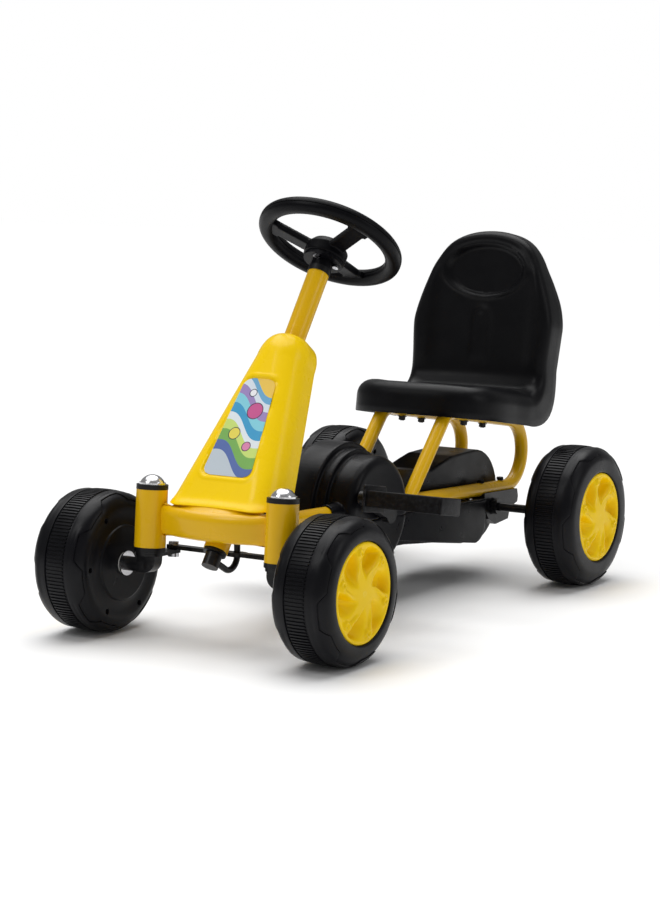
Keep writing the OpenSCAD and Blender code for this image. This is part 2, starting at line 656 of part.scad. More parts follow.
axle_half = rear_half_track + 36;
bracket_in = 42;
bracket_out = 62;
axle_bush_r = 9;
module rear_axle() color("dimgray") kart() translate([0, wheelbase, rear_wheel_r])
    xcyl(-axle_half + 15, axle_half - 15, axle_r);
module rear_tyre(side) color(black) rear_wheel_place(side) wheel_shell(rear_wheel_r, rear_wheel_w, axle_r);
module rear_hubcap(side) color(yellow) rear_wheel_place(side)
    translate([0, 0, rear_wheel_w / 2]) cap_shell(hubcap_r);
module rear_bracket(side) color(black) kart() on_side(side) difference() {
    side_plate(bracket_in, bracket_out, [
        [579, rail_z(579) - 4], [677, rail_z(677) - 4], [680, 102], [678, 94], [656, 89],
        [650, 73], [612, 70], [592, 80], [579, 96]]);
    translate([0, wheelbase, rear_wheel_r]) xcyl(0, 100, axle_bush_r);
    translate([rail_x, 0, 0]) {
        tube_run(low_start, low_end, rail_r);
        bend([hoop_y, hoop_z], hoop_r, -90 - rail_slope, -30, rail_r + run_grow);
        for (y = bracket_bolt_y) translate([0, y, rail_z(y) - 40]) cylinder(h = 60, r = bracket_bolt_r + 0.2);
    }
}
module axle_bushes() color(black) kart() translate([0, wheelbase, rear_wheel_r])
    for (side = [-1, 1]) on_side(side) difference() {
        union() {
            xcyl(bracket_in, bracket_out, axle_bush_r);
            xcyl(bracket_out - tiny, bracket_out + 2, 12);
        }
        xcyl(0, 100, axle_r + running);
    }
module axle_collars() color("dimgray") kart() translate([0, wheelbase, rear_wheel_r])
    for (side = [-1, 1]) on_side(side) {
        xring(bracket_out + 2 + side_gap, bracket_out + 10, 11, axle_r);
        xring(rear_half_track - rear_wheel_w / 2 - 5, rear_half_track - rear_wheel_w / 2, 14, axle_r);
    }
module axle_nuts() color(steel) kart() translate([0, wheelbase, rear_wheel_r])
    for (side = [-1, 1]) on_side(side) {
        outer = rear_half_track + rear_wheel_w / 2 - hub_short;
        xring(outer, outer + 1.5, 12, axle_r);
        translate([outer + 1.5, 0, 0]) rotate([0, 90, 0]) difference() {
            cylinder(h = 5, r = 10, $fn = 6);
            translate([0, 0, -1]) cylinder(h = 8, r = axle_r);
        }
    }
module bracket_bolts() color(steel) kart() for (side = [-1, 1]) on_side(side)
    for (y = bracket_bolt_y) translate([rail_x, y, rail_z(y)]) {
        length = y < 600 ? 28 : 38;
        translate([0, 0, rail_r - length]) cylinder(h = length + 1, r = bracket_bolt_r);
        translate([0, 0, rail_r + 0.5]) cylinder(h = 4, r = 5.5, $fn = 6);
    }

// ---------------------------------------------------------------- chain guard

guard_wall = 2.5;
drum_r = 88;
drum_half_w = 21;
step_r = 80;
step_half_w = 35;
dome_r = 73;
dome_half_w = 73;
dome_round = 12;
case_half_w = 36;
belly_half_w = 65;
seam_drop = 12.5;     // the seam runs this far below the rails' middle line
function seam_z(y) = rail_z(y) - seam_drop;
horn_r = 12.2;
horn_start = 176;
horn_end = 232;
rail_clearance = 0.4;
// Drum over the big sprocket and flat case back to the axle, drawn in by g on every side
module case_form(g) {
    translate([0, crank_y, crank_z]) {
        xcyl(-drum_half_w + g, drum_half_w - g, drum_r - g);
        xcyl(-step_half_w + g, step_half_w - g, step_r - g);
        for (side = [-1, 1]) on_side(side) rotate([0, 90, 0]) rotate_extrude() polygon(concat(
            [[0, 30], [dome_r - g, 30]],
            arc(dome_r - dome_round, dome_half_w - dome_round, dome_round - g, 0, 90),
            [[0, dome_half_w - g]]));
    }
    side_plate(-case_half_w + g, case_half_w - g, concat(
        [[300, 74 + g], [300, 190 - g], [370, 178 - g], [470, 163 - g], [500, 170 - g], [530, 176 - g]],
        arc(596, 109, 68 - g, 90, 0, 10), arc(602, 107, 62 - g, 0, -90, 10),
        [[560, 47 + g], [480, 60 + g], [400, 69.5 + g]]));
}
// Wide tub between the rails; the seam cuts its top open
module belly_form(g) side_plate(-belly_half_w + g, belly_half_w - g, concat(
    [[236 + g, seam_z(236) + 10], [577 - g, seam_z(577) + 10]],
    arc(549, 80, 28 - g, 0, -90, 10), [[300, 93 + g], [250 + g, 104 + g]]));
// Half space above the seam, which runs parallel to the rails
module above_seam(lift) translate([-far, 450, seam_z(450) + lift]) rotate([-rail_slope, 0, 0])
    translate([0, -2 * far, 0]) cube([2 * far, 4 * far, far]);
guard_screw_y = [380, 460, 540];
guard_screw_x = 60;
guard_screw_r = 1.5;
guard_boss_r = 4;
flange_t = 2.4;
flange_front = 344;
flange_rear = 576;
module guard_flange() difference() {
    intersection() {
        translate([-belly_half_w, flange_front, 60])
            cube([2 * belly_half_w, flange_rear - flange_front, 100]);
        difference() {
            above_seam(0);
            above_seam(flange_t);
        }
    }
    translate([-case_half_w + guard_wall, 340, 60]) cube([2 * (case_half_w - guard_wall), 240, 100]);
}
module guard_screw_holes(r) for (side = [-1, 1]) for (y = guard_screw_y)
    translate([side * guard_screw_x, y, seam_z(y) - 12]) cylinder(h = 24, r = r);
module guard_upper() color(black) kart() difference() {
    union() {
        intersection() {
            difference() {
                union() {
                    case_form(0);
                    for (side = [-1, 1]) translate([side * rail_x, 0, 0])
                        bar([horn_start, rail_z(horn_start)], [horn_end, rail_z(horn_end)], horn_r);
                }
                case_form(guard_wall);
            }
            above_seam(0);
        }
        guard_flange();
    }
    for (side = [-1, 1]) on_side(side) {
        translate([rail_x, 0, 0]) bar(low_start, low_end, rail_r + rail_clearance);
        translate([0, crank_y, crank_z]) xcyl(60, 80, crank_shaft_r + 1.2);
    }
    guard_screw_holes(guard_screw_r + 0.2);
}
module guard_lower() color(black) kart() difference() {
    union() {
        difference() {
            union() {
                case_form(0);
                belly_form(0);
            }
            case_form(guard_wall);
            belly_form(guard_wall);
        }
        for (side = [-1, 1]) for (y = guard_screw_y)
            translate([side * guard_screw_x, y, seam_z(y) - 11]) cylinder(h = 20, r = guard_boss_r);
    }
    above_seam(0);
    guard_screw_holes(guard_screw_r);
    for (side = [-1, 1]) on_side(side)
        translate([0, wheelbase, rear_wheel_r]) xcyl(30, 40, axle_r + 1.2);
}
module guard_screws() color(steel) kart() for (side = [-1, 1]) for (y = guard_screw_y)
    translate([side * guard_screw_x, y, seam_z(y)]) {
        translate([0, 0, -7]) cylinder(h = 9.9, r = guard_screw_r);
        translate([0, 0, 2.7]) cylinder(h = 1.6, r = 3);
    }

// ---------------------------------------------------------------- seat

pan_front = -214;
pan_rear = 6;
pan_nose_v = -100;    // in front of this the pan's outline narrows and rounds off
pan_nose_half = 112;
pan_top = 38;
skirt_bottom = -6;
pan_step_v = -50;     // the flat top ends here, and the strip behind it is lower by pan_step
pan_step = 1;
back_bend_r = 500;    // radius of the backrest's hollow
back_face = -17;
back_wide_w = 135;    // height at which the backrest is widest
module mirrored_outline(half) polygon(concat(half,
    [for (i = [len(half) - 1 : -1 : 0]) if (half[i][0] > tiny) [-half[i][0], half[i][1]]]));
module pan_outline(g) mirrored_outline(concat(
    [for (a = [0 : 6 : 90]) [(pan_nose_half - g) * pow(sin(a), 0.667),
        pan_nose_v - (pan_nose_v - pan_front - g) * pow(cos(a), 0.667)]],
    [[seat_half_w - g, -40], [seat_half_w - g, pan_rear - g]]));
function back_share(h) = (1 - 0.47 * pow(h, 1.45)) * sqrt(1 - pow(h, 11));
module back_outline(g) mirrored_outline(concat(
    [[110 - g, 12 + g], [110 - g, 76], [back_half_w - g, 125]],
    [for (h = [0.08, 0.17, 0.26, 0.35, 0.44, 0.53, 0.62, 0.71, 0.79, 0.86, 0.91, 0.95, 0.98, 0.995, 1])
        [(back_half_w - g) * back_share(h), back_wide_w + (back_top - g - back_wide_w) * h]]));
module backrest() difference() {
    translate([0, back_depth, 0]) rotate([90, 0, 0])
        linear_extrude(height = back_depth - back_face + 20) back_outline(0);
    translate([0, back_face - back_bend_r, -1]) cylinder(h = back_top + 8, r = back_bend_r, $fn = 128);
    difference() {
        translate([0, back_depth + 1, 0]) rotate([90, 0, 0])
            linear_extrude(height = back_depth - back_face + 21) back_outline(seat_wall);
        translate([0, back_face - back_bend_r, -1])
            cylinder(h = back_top + 8, r = back_bend_r + seat_wall, $fn = 128);
    }
}
rail_slot_r = rail_r + 0.4;
rail_slot_front = pan_front + 14;
rail_slot_rear = back_depth + 20;
module seat() color(black) kart() seat_frame() difference() {
    union() {
        difference() {
            translate([0, 0, skirt_bottom]) linear_extrude(height = pan_top - skirt_bottom) pan_outline(0);
            translate([0, 0, skirt_bottom - 1])
                linear_extrude(height = pan_top - seat_wall - skirt_bottom + 1) pan_outline(seat_wall);
            translate([-far / 2, pan_step_v, pan_top - pan_step]) cube([far, far, far]);
        }
        for (side = [-1, 1]) for (v = seat_bolt_v) translate([side * rail_x, v, rail_r])
            cylinder(h = pan_top - seat_wall - rail_r + tiny, r = 8);
        backrest();
    }
    for (side = [-1, 1]) translate([side * rail_x, 0, 0]) {
        translate([0, rail_slot_front, 0]) rotate([-90, 0, 0])
            cylinder(h = rail_slot_rear - rail_slot_front, r = rail_slot_r);
        translate([-rail_slot_r, rail_slot_front, -30])
            cube([2 * rail_slot_r, rail_slot_rear - rail_slot_front, 30]);
        for (v = seat_bolt_v) translate([0, v, 0]) cylinder(h = pan_top - seat_wall, r = seat_bolt_r);
    }
}
module seat_bolts() color(steel) kart() seat_frame() for (side = [-1, 1]) for (v = seat_bolt_v)
    translate([side * rail_x, v, 0]) {
        translate([0, 0, -16]) cylinder(h = 16 + pan_top - seat_wall, r = seat_bolt_r);
    }
module seat_nuts() color(steel) kart() seat_frame() for (side = [-1, 1]) for (v = seat_bolt_v)
    translate([side * rail_x, v, -rail_r - 1.2]) {
        ring(1.2, 6.5, seat_bolt_r);
        translate([0, 0, -4.5]) difference() {
            cylinder(h = 4.5, r = 5.5, $fn = 6);
            translate([0, 0, -1]) cylinder(h = 7, r = seat_bolt_r);
        }
    }

// ---------------------------------------------------------------- the assembly

front_beam();
kingpin_sleeve(1);  // kingpin_sleeve_left
kingpin_sleeve(-1);  // kingpin_sleeve_right
column_tube();
frame_tube(1);  // frame_tube_left
frame_tube(-1);  // frame_tube_right
cowl();
cowl_badge();
cowl_screws();
kingpin_bushes();
column_bush_upper();
column_bush_lower();
crank_housing(1);  // crank_housing_left
crank_housing(-1);  // crank_housing_right
crank_bushes();
rear_bracket(1);  // rear_bracket_left
rear_bracket(-1);  // rear_bracket_right
axle_bushes();
bracket_bolts();
chain();
guard_upper();
guard_lower();
guard_screws();
seat();
seat_bolts();
seat_nuts();
steering_shaft();
steering_rod();
steering_wheel();
steering_hub();
steering_screws();
knuckle(1);  // knuckle_left
knuckle(-1);  // knuckle_right
kingpin_nut(1);  // kingpin_nut_left
kingpin_nut(-1);  // kingpin_nut_right
front_tyre(1);  // front_tyre_left
front_tyre(-1);  // front_tyre_right
front_hubcap(1);  // front_hubcap_left
front_hubcap(-1);  // front_hubcap_right
front_bushes(1);  // front_bushes_left
front_bushes(-1);  // front_bushes_right
front_nut(1);  // front_nut_left
front_nut(-1);  // front_nut_right
tie_rod();
tie_rod_bolts();
rear_axle();
rear_tyre(1);  // rear_tyre_left
rear_tyre(-1);  // rear_tyre_right
rear_hubcap(1);  // rear_hubcap_left
rear_hubcap(-1);  // rear_hubcap_right
axle_sprocket();
axle_collars();
axle_nuts();
crank_shaft();
crank_arm(1);  // crank_arm_left
crank_arm(-1);  // crank_arm_right
crank_sprocket();
pedal(1);  // pedal_left
pedal(-1);  // pedal_right
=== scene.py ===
"""Looks of a child's pedal go kart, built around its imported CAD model. The builders work in millimetres in
the kart's own frame, and a mesh is turned into metres when it is made. Shader graphs, lights and the
camera use metres."""

import json
import math
from functools import partial

import bpy
import numpy as np
from mathutils import Matrix, Vector


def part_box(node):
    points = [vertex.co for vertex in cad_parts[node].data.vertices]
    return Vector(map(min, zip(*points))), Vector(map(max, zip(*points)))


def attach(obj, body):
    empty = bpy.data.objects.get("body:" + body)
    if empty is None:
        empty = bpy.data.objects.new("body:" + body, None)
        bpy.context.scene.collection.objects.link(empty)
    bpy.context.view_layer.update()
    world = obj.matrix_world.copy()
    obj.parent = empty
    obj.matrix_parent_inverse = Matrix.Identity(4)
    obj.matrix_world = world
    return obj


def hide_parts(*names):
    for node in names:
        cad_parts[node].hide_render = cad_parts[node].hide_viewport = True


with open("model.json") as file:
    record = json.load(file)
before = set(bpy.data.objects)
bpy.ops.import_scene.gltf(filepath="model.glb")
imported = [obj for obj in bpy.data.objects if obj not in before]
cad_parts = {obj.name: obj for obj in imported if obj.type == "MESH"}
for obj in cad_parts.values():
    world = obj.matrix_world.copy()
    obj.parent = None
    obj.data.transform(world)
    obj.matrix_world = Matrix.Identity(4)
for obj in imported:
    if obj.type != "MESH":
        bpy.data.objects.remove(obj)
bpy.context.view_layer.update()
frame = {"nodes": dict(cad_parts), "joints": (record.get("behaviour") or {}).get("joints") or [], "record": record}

NODES = frame["nodes"]
JOINTS = {joint["name"]: joint for joint in frame["joints"]}
MM = 0.001
SIDES = {"left": 1, "right": -1}


# ---------------------------------------------------------------- places taken from the frame

def joint_place(name):
    """Where a joint is, in millimetres."""
    return np.array(JOINTS[name]["pos_m"]) / MM


def node_box(name):
    """A node's lowest and highest corner, in millimetres."""
    lo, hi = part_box(name)
    return np.array(lo) / MM, np.array(hi) / MM


def axes_frame(origin, y_axis, z_axis):
    """4x4 matrix of a frame whose local X is the kart's X."""
    m = np.eye(4)
    m[:3, 1], m[:3, 2], m[:3, 3] = y_axis, z_axis, origin
    return m


def leaning_frame(joint_name, along):
    """Frame on a leaning joint: local Z runs up its axis from a point that is along mm from the joint."""
    axis = np.array(JOINTS[joint_name]["axis"], float)
    axis /= np.linalg.norm(axis)
    back = np.array([0, axis[2], -axis[1]])
    origin = joint_place(joint_name) + along * axis
    origin[0] = 0
    return axes_frame(origin, back, axis)


COLUMN_FOOT_Z = 100
steer = joint_place("steer")
steer_axis = JOINTS["steer"]["axis"]
COLUMN = leaning_frame("steer", (COLUMN_FOOT_Z - steer[2]) / steer_axis[2])


def local_box(name, matrix):
    """A node's box along the axes of another frame."""
    inverse = np.linalg.inv(matrix)
    co = np.array([v.co for v in NODES[name].data.vertices]) / MM
    local = co @ inverse[:3, :3].T + inverse[:3, 3]
    return local.min(0), local.max(0)


# ---------------------------------------------------------------- small mathematics

def smooth(low, high, value):
    """0 below low, 1 above high, and a soft step between."""
    t = np.clip((np.asarray(value, float) - low) / (high - low), 0, 1)
    return t * t * (3 - 2 * t)


def bump(centre, width, value):
    """A soft bump of height 1 round centre."""
    return np.exp(-((np.asarray(value, float) - centre) / width) ** 2)


def between(a, b, count):
    """A list of evenly spaced numbers, both ends included."""
    return list(np.linspace(a, b, count))


# ---------------------------------------------------------------- materials

MIX_A, MIX_B, MIX_OUT = 6, 7, 2     # the colour sockets of a Mix node


def feed(tree, socket, value):
    """Gives a socket another node's output, a colour or a number."""
    if isinstance(value, bpy.types.NodeSocket):
        tree.links.new(value, socket)
    else:
        socket.default_value = (*value, 1) if isinstance(value, tuple) else value


def mix_colours(tree, factor, first, second):
    node = tree.nodes.new("ShaderNodeMix")
    node.data_type = "RGBA"
    feed(tree, node.inputs["Factor"], factor)
    feed(tree, node.inputs[MIX_A], first)
    feed(tree, node.inputs[MIX_B], second)
    return node.outputs[MIX_OUT]


def maths(tree, operation, *values):
    """Output of a Math node."""
    node = tree.nodes.new("ShaderNodeMath")
    node.operation = operation
    for socket, value in zip(node.inputs, values):
        feed(tree, socket, value)
    return node.outputs[0]


def material(name, colour, rough, metallic=0.0, coat=0.0, grain=0.0, grain_size=1.0, vary=0.06,
             rough_vary=0.08, scuff=0.0, scuff_colour=None, blotch_size=60.0, specular=0.5):
    """Plain moulded or painted finish: grain in the normal, blotches in colour and gloss, worn edges.
    The colour is a triple, or a function that builds its own nodes. Sizes are in millimetres."""
    made = bpy.data.materials.new(name)
    made.use_nodes = True
    tree = made.node_tree
    shader = tree.nodes["Principled BSDF"]
    shader.inputs["Metallic"].default_value = metallic
    shader.inputs["Coat Weight"].default_value = coat
    shader.inputs["Coat Roughness"].default_value = 0.08
    shader.inputs["Specular IOR Level"].default_value = specular
    where = tree.nodes.new("ShaderNodeTexCoord")

    def noise(size, detail, roughness=0.5):
        node = tree.nodes.new("ShaderNodeTexNoise")
        node.inputs["Scale"].default_value = 1 / (size * MM)
        node.inputs["Detail"].default_value = detail
        node.inputs["Roughness"].default_value = roughness
        tree.links.new(where.outputs["Object"], node.inputs["Vector"])
        return node.outputs["Fac"]

    def spread(source, low, high, out_low, out_high):
        node = tree.nodes.new("ShaderNodeMapRange")
        for key, value in zip(("From Min", "From Max", "To Min", "To Max"), (low, high, out_low, out_high)):
            node.inputs[key].default_value = value
        tree.links.new(source, node.inputs["Value"])
        return node.outputs["Result"]

    if isinstance(colour, tuple):
        darker = tuple(c * (1 - vary) for c in colour)
        lighter = tuple(min(1, c * (1 + vary)) for c in colour)
        tint = mix_colours(tree, spread(noise(blotch_size, 3), 0.3, 0.7, 0, 1), darker, lighter)
    else:
        tint = colour(tree, where)
    gloss = spread(noise(blotch_size * 0.4, 4), 0.3, 0.7, rough - rough_vary / 2, rough + rough_vary / 2)
    if scuff:
        edges = tree.nodes.new("ShaderNodeNewGeometry")
        worn = spread(edges.outputs["Pointiness"], 0.52, 0.62, 0, 1)
        patchy = spread(noise(6, 5, 0.7), 0.45, 0.65, 0, scuff)
        tint = mix_colours(tree, maths(tree, "MULTIPLY", worn, patchy), tint, scuff_colour)
    tree.links.new(tint, shader.inputs["Base Color"])
    tree.links.new(gloss, shader.inputs["Roughness"])
    if grain:
        relief = tree.nodes.new("ShaderNodeBump")
        relief.inputs["Strength"].default_value = grain
        relief.inputs["Distance"].default_value = 0.15 * MM
        tree.links.new(noise(grain_size, 2), relief.inputs["Height"])
        tree.links.new(relief.outputs["Normal"], shader.inputs["Normal"])
    return made


WAVE_RATE, WAVE_HEIGHT = 95.0, 0.006    # of the bands' edges, in radians a metre and metres
BAND_SLANT = 0.45
BAND_MARGIN = 0.002
DISC_SQUASH = 1.2
DISC_OUTLINE = 0.0011
# where each band starts, as a share of the panel's height, and its colour
BANDS = [(0.0, (0.55, 0.62, 0.68)), (0.10, (0.10, 0.16, 0.42)), (0.20, (0.20, 0.45, 0.10)),
         (0.32, (0.62, 0.78, 0.20)), (0.42, (0.80, 0.86, 0.90)), (0.50, (0.05, 0.35, 0.62)),
         (0.60, (0.25, 0.66, 0.78)), (0.70, (0.36, 0.26, 0.55)), (0.80, (0.72, 0.80, 0.88)),
         (0.88, (0.16, 0.42, 0.66)), (0.95, (0.90, 0.60, 0.10))]
# each disc's place across, its place up as a share of the height, its radius and its colour
DISCS = [(0.008, 0.66, 0.0105, (0.62, 0.10, 0.30)), (-0.010, 0.42, 0.0075, (0.85, 0.72, 0.10)),
         (0.014, 0.30, 0.0055, (0.75, 0.25, 0.45)), (-0.004, 0.84, 0.0045, (0.92, 0.92, 0.95))]
OUTLINE_COLOUR = (0.02, 0.03, 0.06)


def badge_colour(tree, where):
    """Abstract print: slanting bands in cool colours with a few warm discs, no figure and no lettering."""
    calc = partial(maths, tree)
    low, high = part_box("cowl_badge")
    place = tree.nodes.new("ShaderNodeSeparateXYZ")
    tree.links.new(where.outputs["Object"], place.inputs[0])
    across, height = place.outputs["X"], place.outputs["Z"]
    wave = calc("MULTIPLY", calc("SINE", calc("MULTIPLY", across, WAVE_RATE)), WAVE_HEIGHT)
    slant = calc("ADD", calc("ADD", calc("MULTIPLY", across, BAND_SLANT), height), wave)
    share = calc("DIVIDE", calc("SUBTRACT", slant, low.z + BAND_MARGIN), high.z - low.z - 2 * BAND_MARGIN)
    ramp = tree.nodes.new("ShaderNodeValToRGB")
    ramp.color_ramp.interpolation = "CONSTANT"
    elements = ramp.color_ramp.elements
    while len(elements) < len(BANDS):
        elements.new(0.5)
    for element, (at, shade) in zip(elements, BANDS):
        element.position = at
        element.color = (*shade, 1)
    tree.links.new(share, ramp.inputs["Fac"])
    colour = ramp.outputs["Color"]
    for x, share_up, radius, shade in DISCS:
        dx = calc("SUBTRACT", across, x)
        dz = calc("MULTIPLY", calc("SUBTRACT", height, low.z + share_up * (high.z - low.z)), DISC_SQUASH)
        distance = calc("SQRT", calc("ADD", calc("MULTIPLY", dx, dx), calc("MULTIPLY", dz, dz)))
        colour = mix_colours(tree, calc("LESS_THAN", distance, radius + DISC_OUTLINE), colour, OUTLINE_COLOUR)
        colour = mix_colours(tree, calc("LESS_THAN", distance, radius), colour, shade)
    return colour


FINISHES = {
    "yellow_paint": dict(
        colour=(0.78, 0.45, 0.002), rough=0.30, coat=0.2, grain=0.10, grain_size=1.6, vary=0.015,
        specular=0.18),
    "yellow_shell": dict(
        colour=(1.0, 0.66, 0.001), rough=0.28, coat=0.10, grain=0.06, grain_size=2.5, vary=0.015,
        rough_vary=0.05, specular=0.15),
    "yellow_cap": dict(
        colour=(0.90, 0.60, 0.001), rough=0.38, grain=0.25, grain_size=0.7, vary=0.05, scuff=0.4,
        scuff_colour=(1.0, 0.88, 0.35), specular=0.12),
    "wheel_plastic": dict(
        colour=(0.0032, 0.0032, 0.0046), rough=0.34, grain=0.45, grain_size=0.5, vary=0.18,
        rough_vary=0.14, scuff=0.6, scuff_colour=(0.06, 0.06, 0.068), specular=0.16),
    "seat_plastic": dict(
        colour=(0.0025, 0.0025, 0.0034), rough=0.36, grain=0.55, grain_size=0.45, vary=0.15,
        rough_vary=0.10, scuff=0.3, scuff_colour=(0.04, 0.04, 0.045), specular=0.14),
    "guard_plastic": dict(
        colour=(0.0036, 0.0036, 0.0050), rough=0.33, grain=0.5, grain_size=0.6, vary=0.16,
        rough_vary=0.12, scuff=0.5, scuff_colour=(0.05, 0.05, 0.058), specular=0.13),
    "wheel_rim_plastic": dict(
        colour=(0.0020, 0.0020, 0.0030), rough=0.38, grain=0.45, grain_size=0.4, vary=0.12,
        rough_vary=0.1, scuff=0.35, scuff_colour=(0.03, 0.03, 0.034), specular=0.10),
    "pedal_plastic": dict(
        colour=(0.0035, 0.0035, 0.0045), rough=0.46, grain=0.6, grain_size=0.6, vary=0.16,
        rough_vary=0.12, scuff=0.6, scuff_colour=(0.06, 0.06, 0.065), specular=0.14),
    "chrome": dict(
        colour=(0.72, 0.72, 0.74), rough=0.20, metallic=1.0, grain=0.03, grain_size=3.0, vary=0.03,
        rough_vary=0.05),
    "black_bush": dict(
        colour=(0.006, 0.006, 0.007), rough=0.4, grain=0.3, grain_size=0.6, vary=0.15, specular=0.25),
    "white_bush": dict(
        colour=(0.72, 0.71, 0.67), rough=0.45, grain=0.2, grain_size=0.8, vary=0.05),
    "dark_steel": dict(
        colour=(0.055, 0.053, 0.052), rough=0.38, metallic=1.0, grain=0.3, grain_size=0.8, vary=0.25,
        rough_vary=0.2, blotch_size=12),
    "zinc_steel": dict(
        colour=(0.58, 0.58, 0.60), rough=0.30, metallic=1.0, grain=0.2, grain_size=0.9, vary=0.12,
        rough_vary=0.15, blotch_size=8),
    "black_paint": dict(
        colour=(0.006, 0.006, 0.007), rough=0.36, coat=0.05, grain=0.2, grain_size=1.2, vary=0.12,
        scuff=0.3, scuff_colour=(0.05, 0.05, 0.05), specular=0.22),
    "badge": dict(
        colour=badge_colour, rough=0.22, coat=0.5, grain=0.05, grain_size=2.0, rough_vary=0.05),
}
MATERIALS = {name: material(name, **finish) for name, finish in FINISHES.items()}
SLOT_OF = {row["node"]: row["material_slot"] for row in frame["record"]["subparts"]}


# ---------------------------------------------------------------- making meshes

def finish_piece(piece, body, slot, *replaced, sharp=38):
    """Gives a piece its material and shading and hands it to the frame."""
    piece.data.materials.clear()
    piece.data.materials.append(MATERIALS[slot])
    piece.data.shade_smooth()
    piece.data.set_sharp_from_angle(angle=math.radians(sharp))
    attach(piece, body)
    if replaced:
        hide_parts(*replaced)
    return piece


def add_object(name, data):
    made = bpy.data.objects.new(name, data)
    bpy.context.scene.collection.objects.link(made)
    return made


def new_object(name, verts, faces):
    """Object of the given points in millimetres."""
    mesh = bpy.data.meshes.new(name)
    mesh.from_pydata([tuple(v) for v in np.asarray(verts, float) * MM], [], faces)
    mesh.validate()
    mesh.update()
    return add_object(name, mesh)


def grid_faces(rows, columns, close_rows=False, close_columns=False, flip=False):
    """Quads of a grid of points counted row by row; a closed way joins its last line to its first."""
    faces = []
    for i in range(rows if close_rows else rows - 1):
        for j in range(columns if close_columns else columns - 1):
            next_i, next_j = (i + 1) % rows, (j + 1) % columns
            a, b = i * columns + j, i * columns + next_j
            c, d = next_i * columns + next_j, next_i * columns + j
            faces.append((a, d, c, b) if flip else (a, b, c, d))
    return faces


def moved(points, matrix):
    """Points of a local frame in the kart's frame."""
    points = np.asarray(points, float)
    return points @ matrix[:3, :3].T + matrix[:3, 3]


def grid_object(name, points, matrix=None, **how):
    """Object of a grid of points, rows by columns by 3."""
    rows, columns, _ = points.shape
    flat = points.reshape(-1, 3)
    if matrix is not None:
        flat = moved(flat, matrix)
    return new_object(name, flat, grid_faces(rows, columns, **how))


def rod(name, p, q, radius, sides=48, radius_end=None):
    """Closed round rod between two points."""
    p, q = np.asarray(p, float), np.asarray(q, float)
    along = (q - p) / np.linalg.norm(q - p)
    first = np.cross(along, [1, 0, 0] if abs(along[0]) < 0.9 else [0, 1, 0])
    first /= np.linalg.norm(first)
    second = np.cross(along, first)
    turn = np.arange(sides) * 2 * math.pi / sides
    ring = np.cos(turn)[:, None] * first + np.sin(turn)[:, None] * second
    end = radius if radius_end is None else radius_end
    verts = np.vstack([p + ring * radius, q + ring * end])
    faces = [(i, (i + 1) % sides, sides + (i + 1) % sides, sides + i) for i in range(sides)]
    faces += [tuple(range(sides))[::-1], tuple(range(sides, 2 * sides))]
    return new_object(name, verts, faces)


def block(name, lo, hi, matrix=None):
    """Closed box between two corners."""
    corners = [(x, y, z) for x in (lo[0], hi[0]) for y in (lo[1], hi[1]) for z in (lo[2], hi[2])]
    faces = [(0, 1, 3, 2), (4, 6, 7, 5), (0, 4, 5, 1), (2, 3, 7, 6), (0, 2, 6, 4), (1, 5, 7, 3)]
    return new_object(name, corners if matrix is None else moved(corners, matrix), faces)


def with_modifier(piece, kind, **settings):
    """Adds a modifier and applies it at once."""
    modifier = piece.modifiers.new(kind, kind)
    for key, value in settings.items():
        setattr(modifier, key, value)
    bpy.context.view_layer.update()
    evaluated = piece.evaluated_get(bpy.context.evaluated_depsgraph_get())
    mesh = bpy.data.meshes.new_from_object(evaluated)
    piece.modifiers.clear()
    old = piece.data
    piece.data = mesh
    bpy.data.meshes.remove(old)
    return piece


def discard(thing):
    """Removes an object and its mesh."""
    mesh = thing.data
    bpy.data.objects.remove(thing)
    bpy.data.meshes.remove(mesh)


def joined(name, parts):
    """One object of several, each part staying a closed shell."""
    verts, faces = [], []
    for part in parts:
        count = len(verts)
        verts += [tuple(v.co) for v in part.data.vertices]
        faces += [tuple(count + i for i in face.vertices) for face in part.data.polygons]
    made = new_object(name, np.array(verts) / MM, faces)
    for part in parts:
        discard(part)
    return made


def moulded(name, parts, voxel, rounds, soft):
    """Parts melted into one skin with small round fillets, as a moulding or a weld has."""
    piece = joined(name, parts)
    with_modifier(piece, "REMESH", mode="VOXEL", voxel_size=voxel * MM, adaptivity=0.0)
    with_modifier(piece, "SMOOTH", factor=soft, iterations=rounds)
    return piece


def cad_copy(node):
    """A new object with the shape of a CAD node."""
    mesh = NODES[node].data
    verts = [tuple(v.co / MM) for v in mesh.vertices]
    return new_object(node + "_copy", verts, [tuple(p.vertices) for p in mesh.polygons])


def carve(piece, tool):
    """Cuts a tool's shape out of a piece."""
    with_modifier(piece, "BOOLEAN", operation="DIFFERENCE", object=tool, solver="EXACT")
    discard(tool)


# ---------------------------------------------------------------- wheels

RIBS = 120
RIB_HEIGHT = 1.5
# place in a rib's pitch, and whether the tread is up or down there
RIB_STEPS = [(0.0, 0), (0.08, 1), (0.30, 1), (0.52, 1), (0.60, 0), (0.80, 0)]
CROWN = 1.2             # how much lower the tread is at the shoulders than in the middle
BAND_UP = -0.3          # height of the smooth bands outside the grooves
GROOVE = [(15.4, -0.4), (15.0, -1.8), (13.6, -1.8), (12.9, -1.5)]   # distance from the middle, height
BLOCKS = 6              # stepped blocks round each shoulder
SHOULDER_R = 18
SHOULDER_END = 88       # degrees round the shoulder
FACE_STEP = 2.5         # from the inner face's hub ring down to its flat
DIMPLE_R, DIMPLE_DEPTH = 66, 4.5
CAP_R = 61.5
CAP_SEAT = 6            # from the tyre's outer face down to the ledge where the hubcap sits
CAP_WALL = 1.6
SCOOPS = 6
SCOOP_START, SCOOP_REACH, SCOOP_LEAN = 14, 46, math.radians(26)
SCOOP_DEPTH = 12
BOSS_R = 50             # circle of the hubcap's round bosses


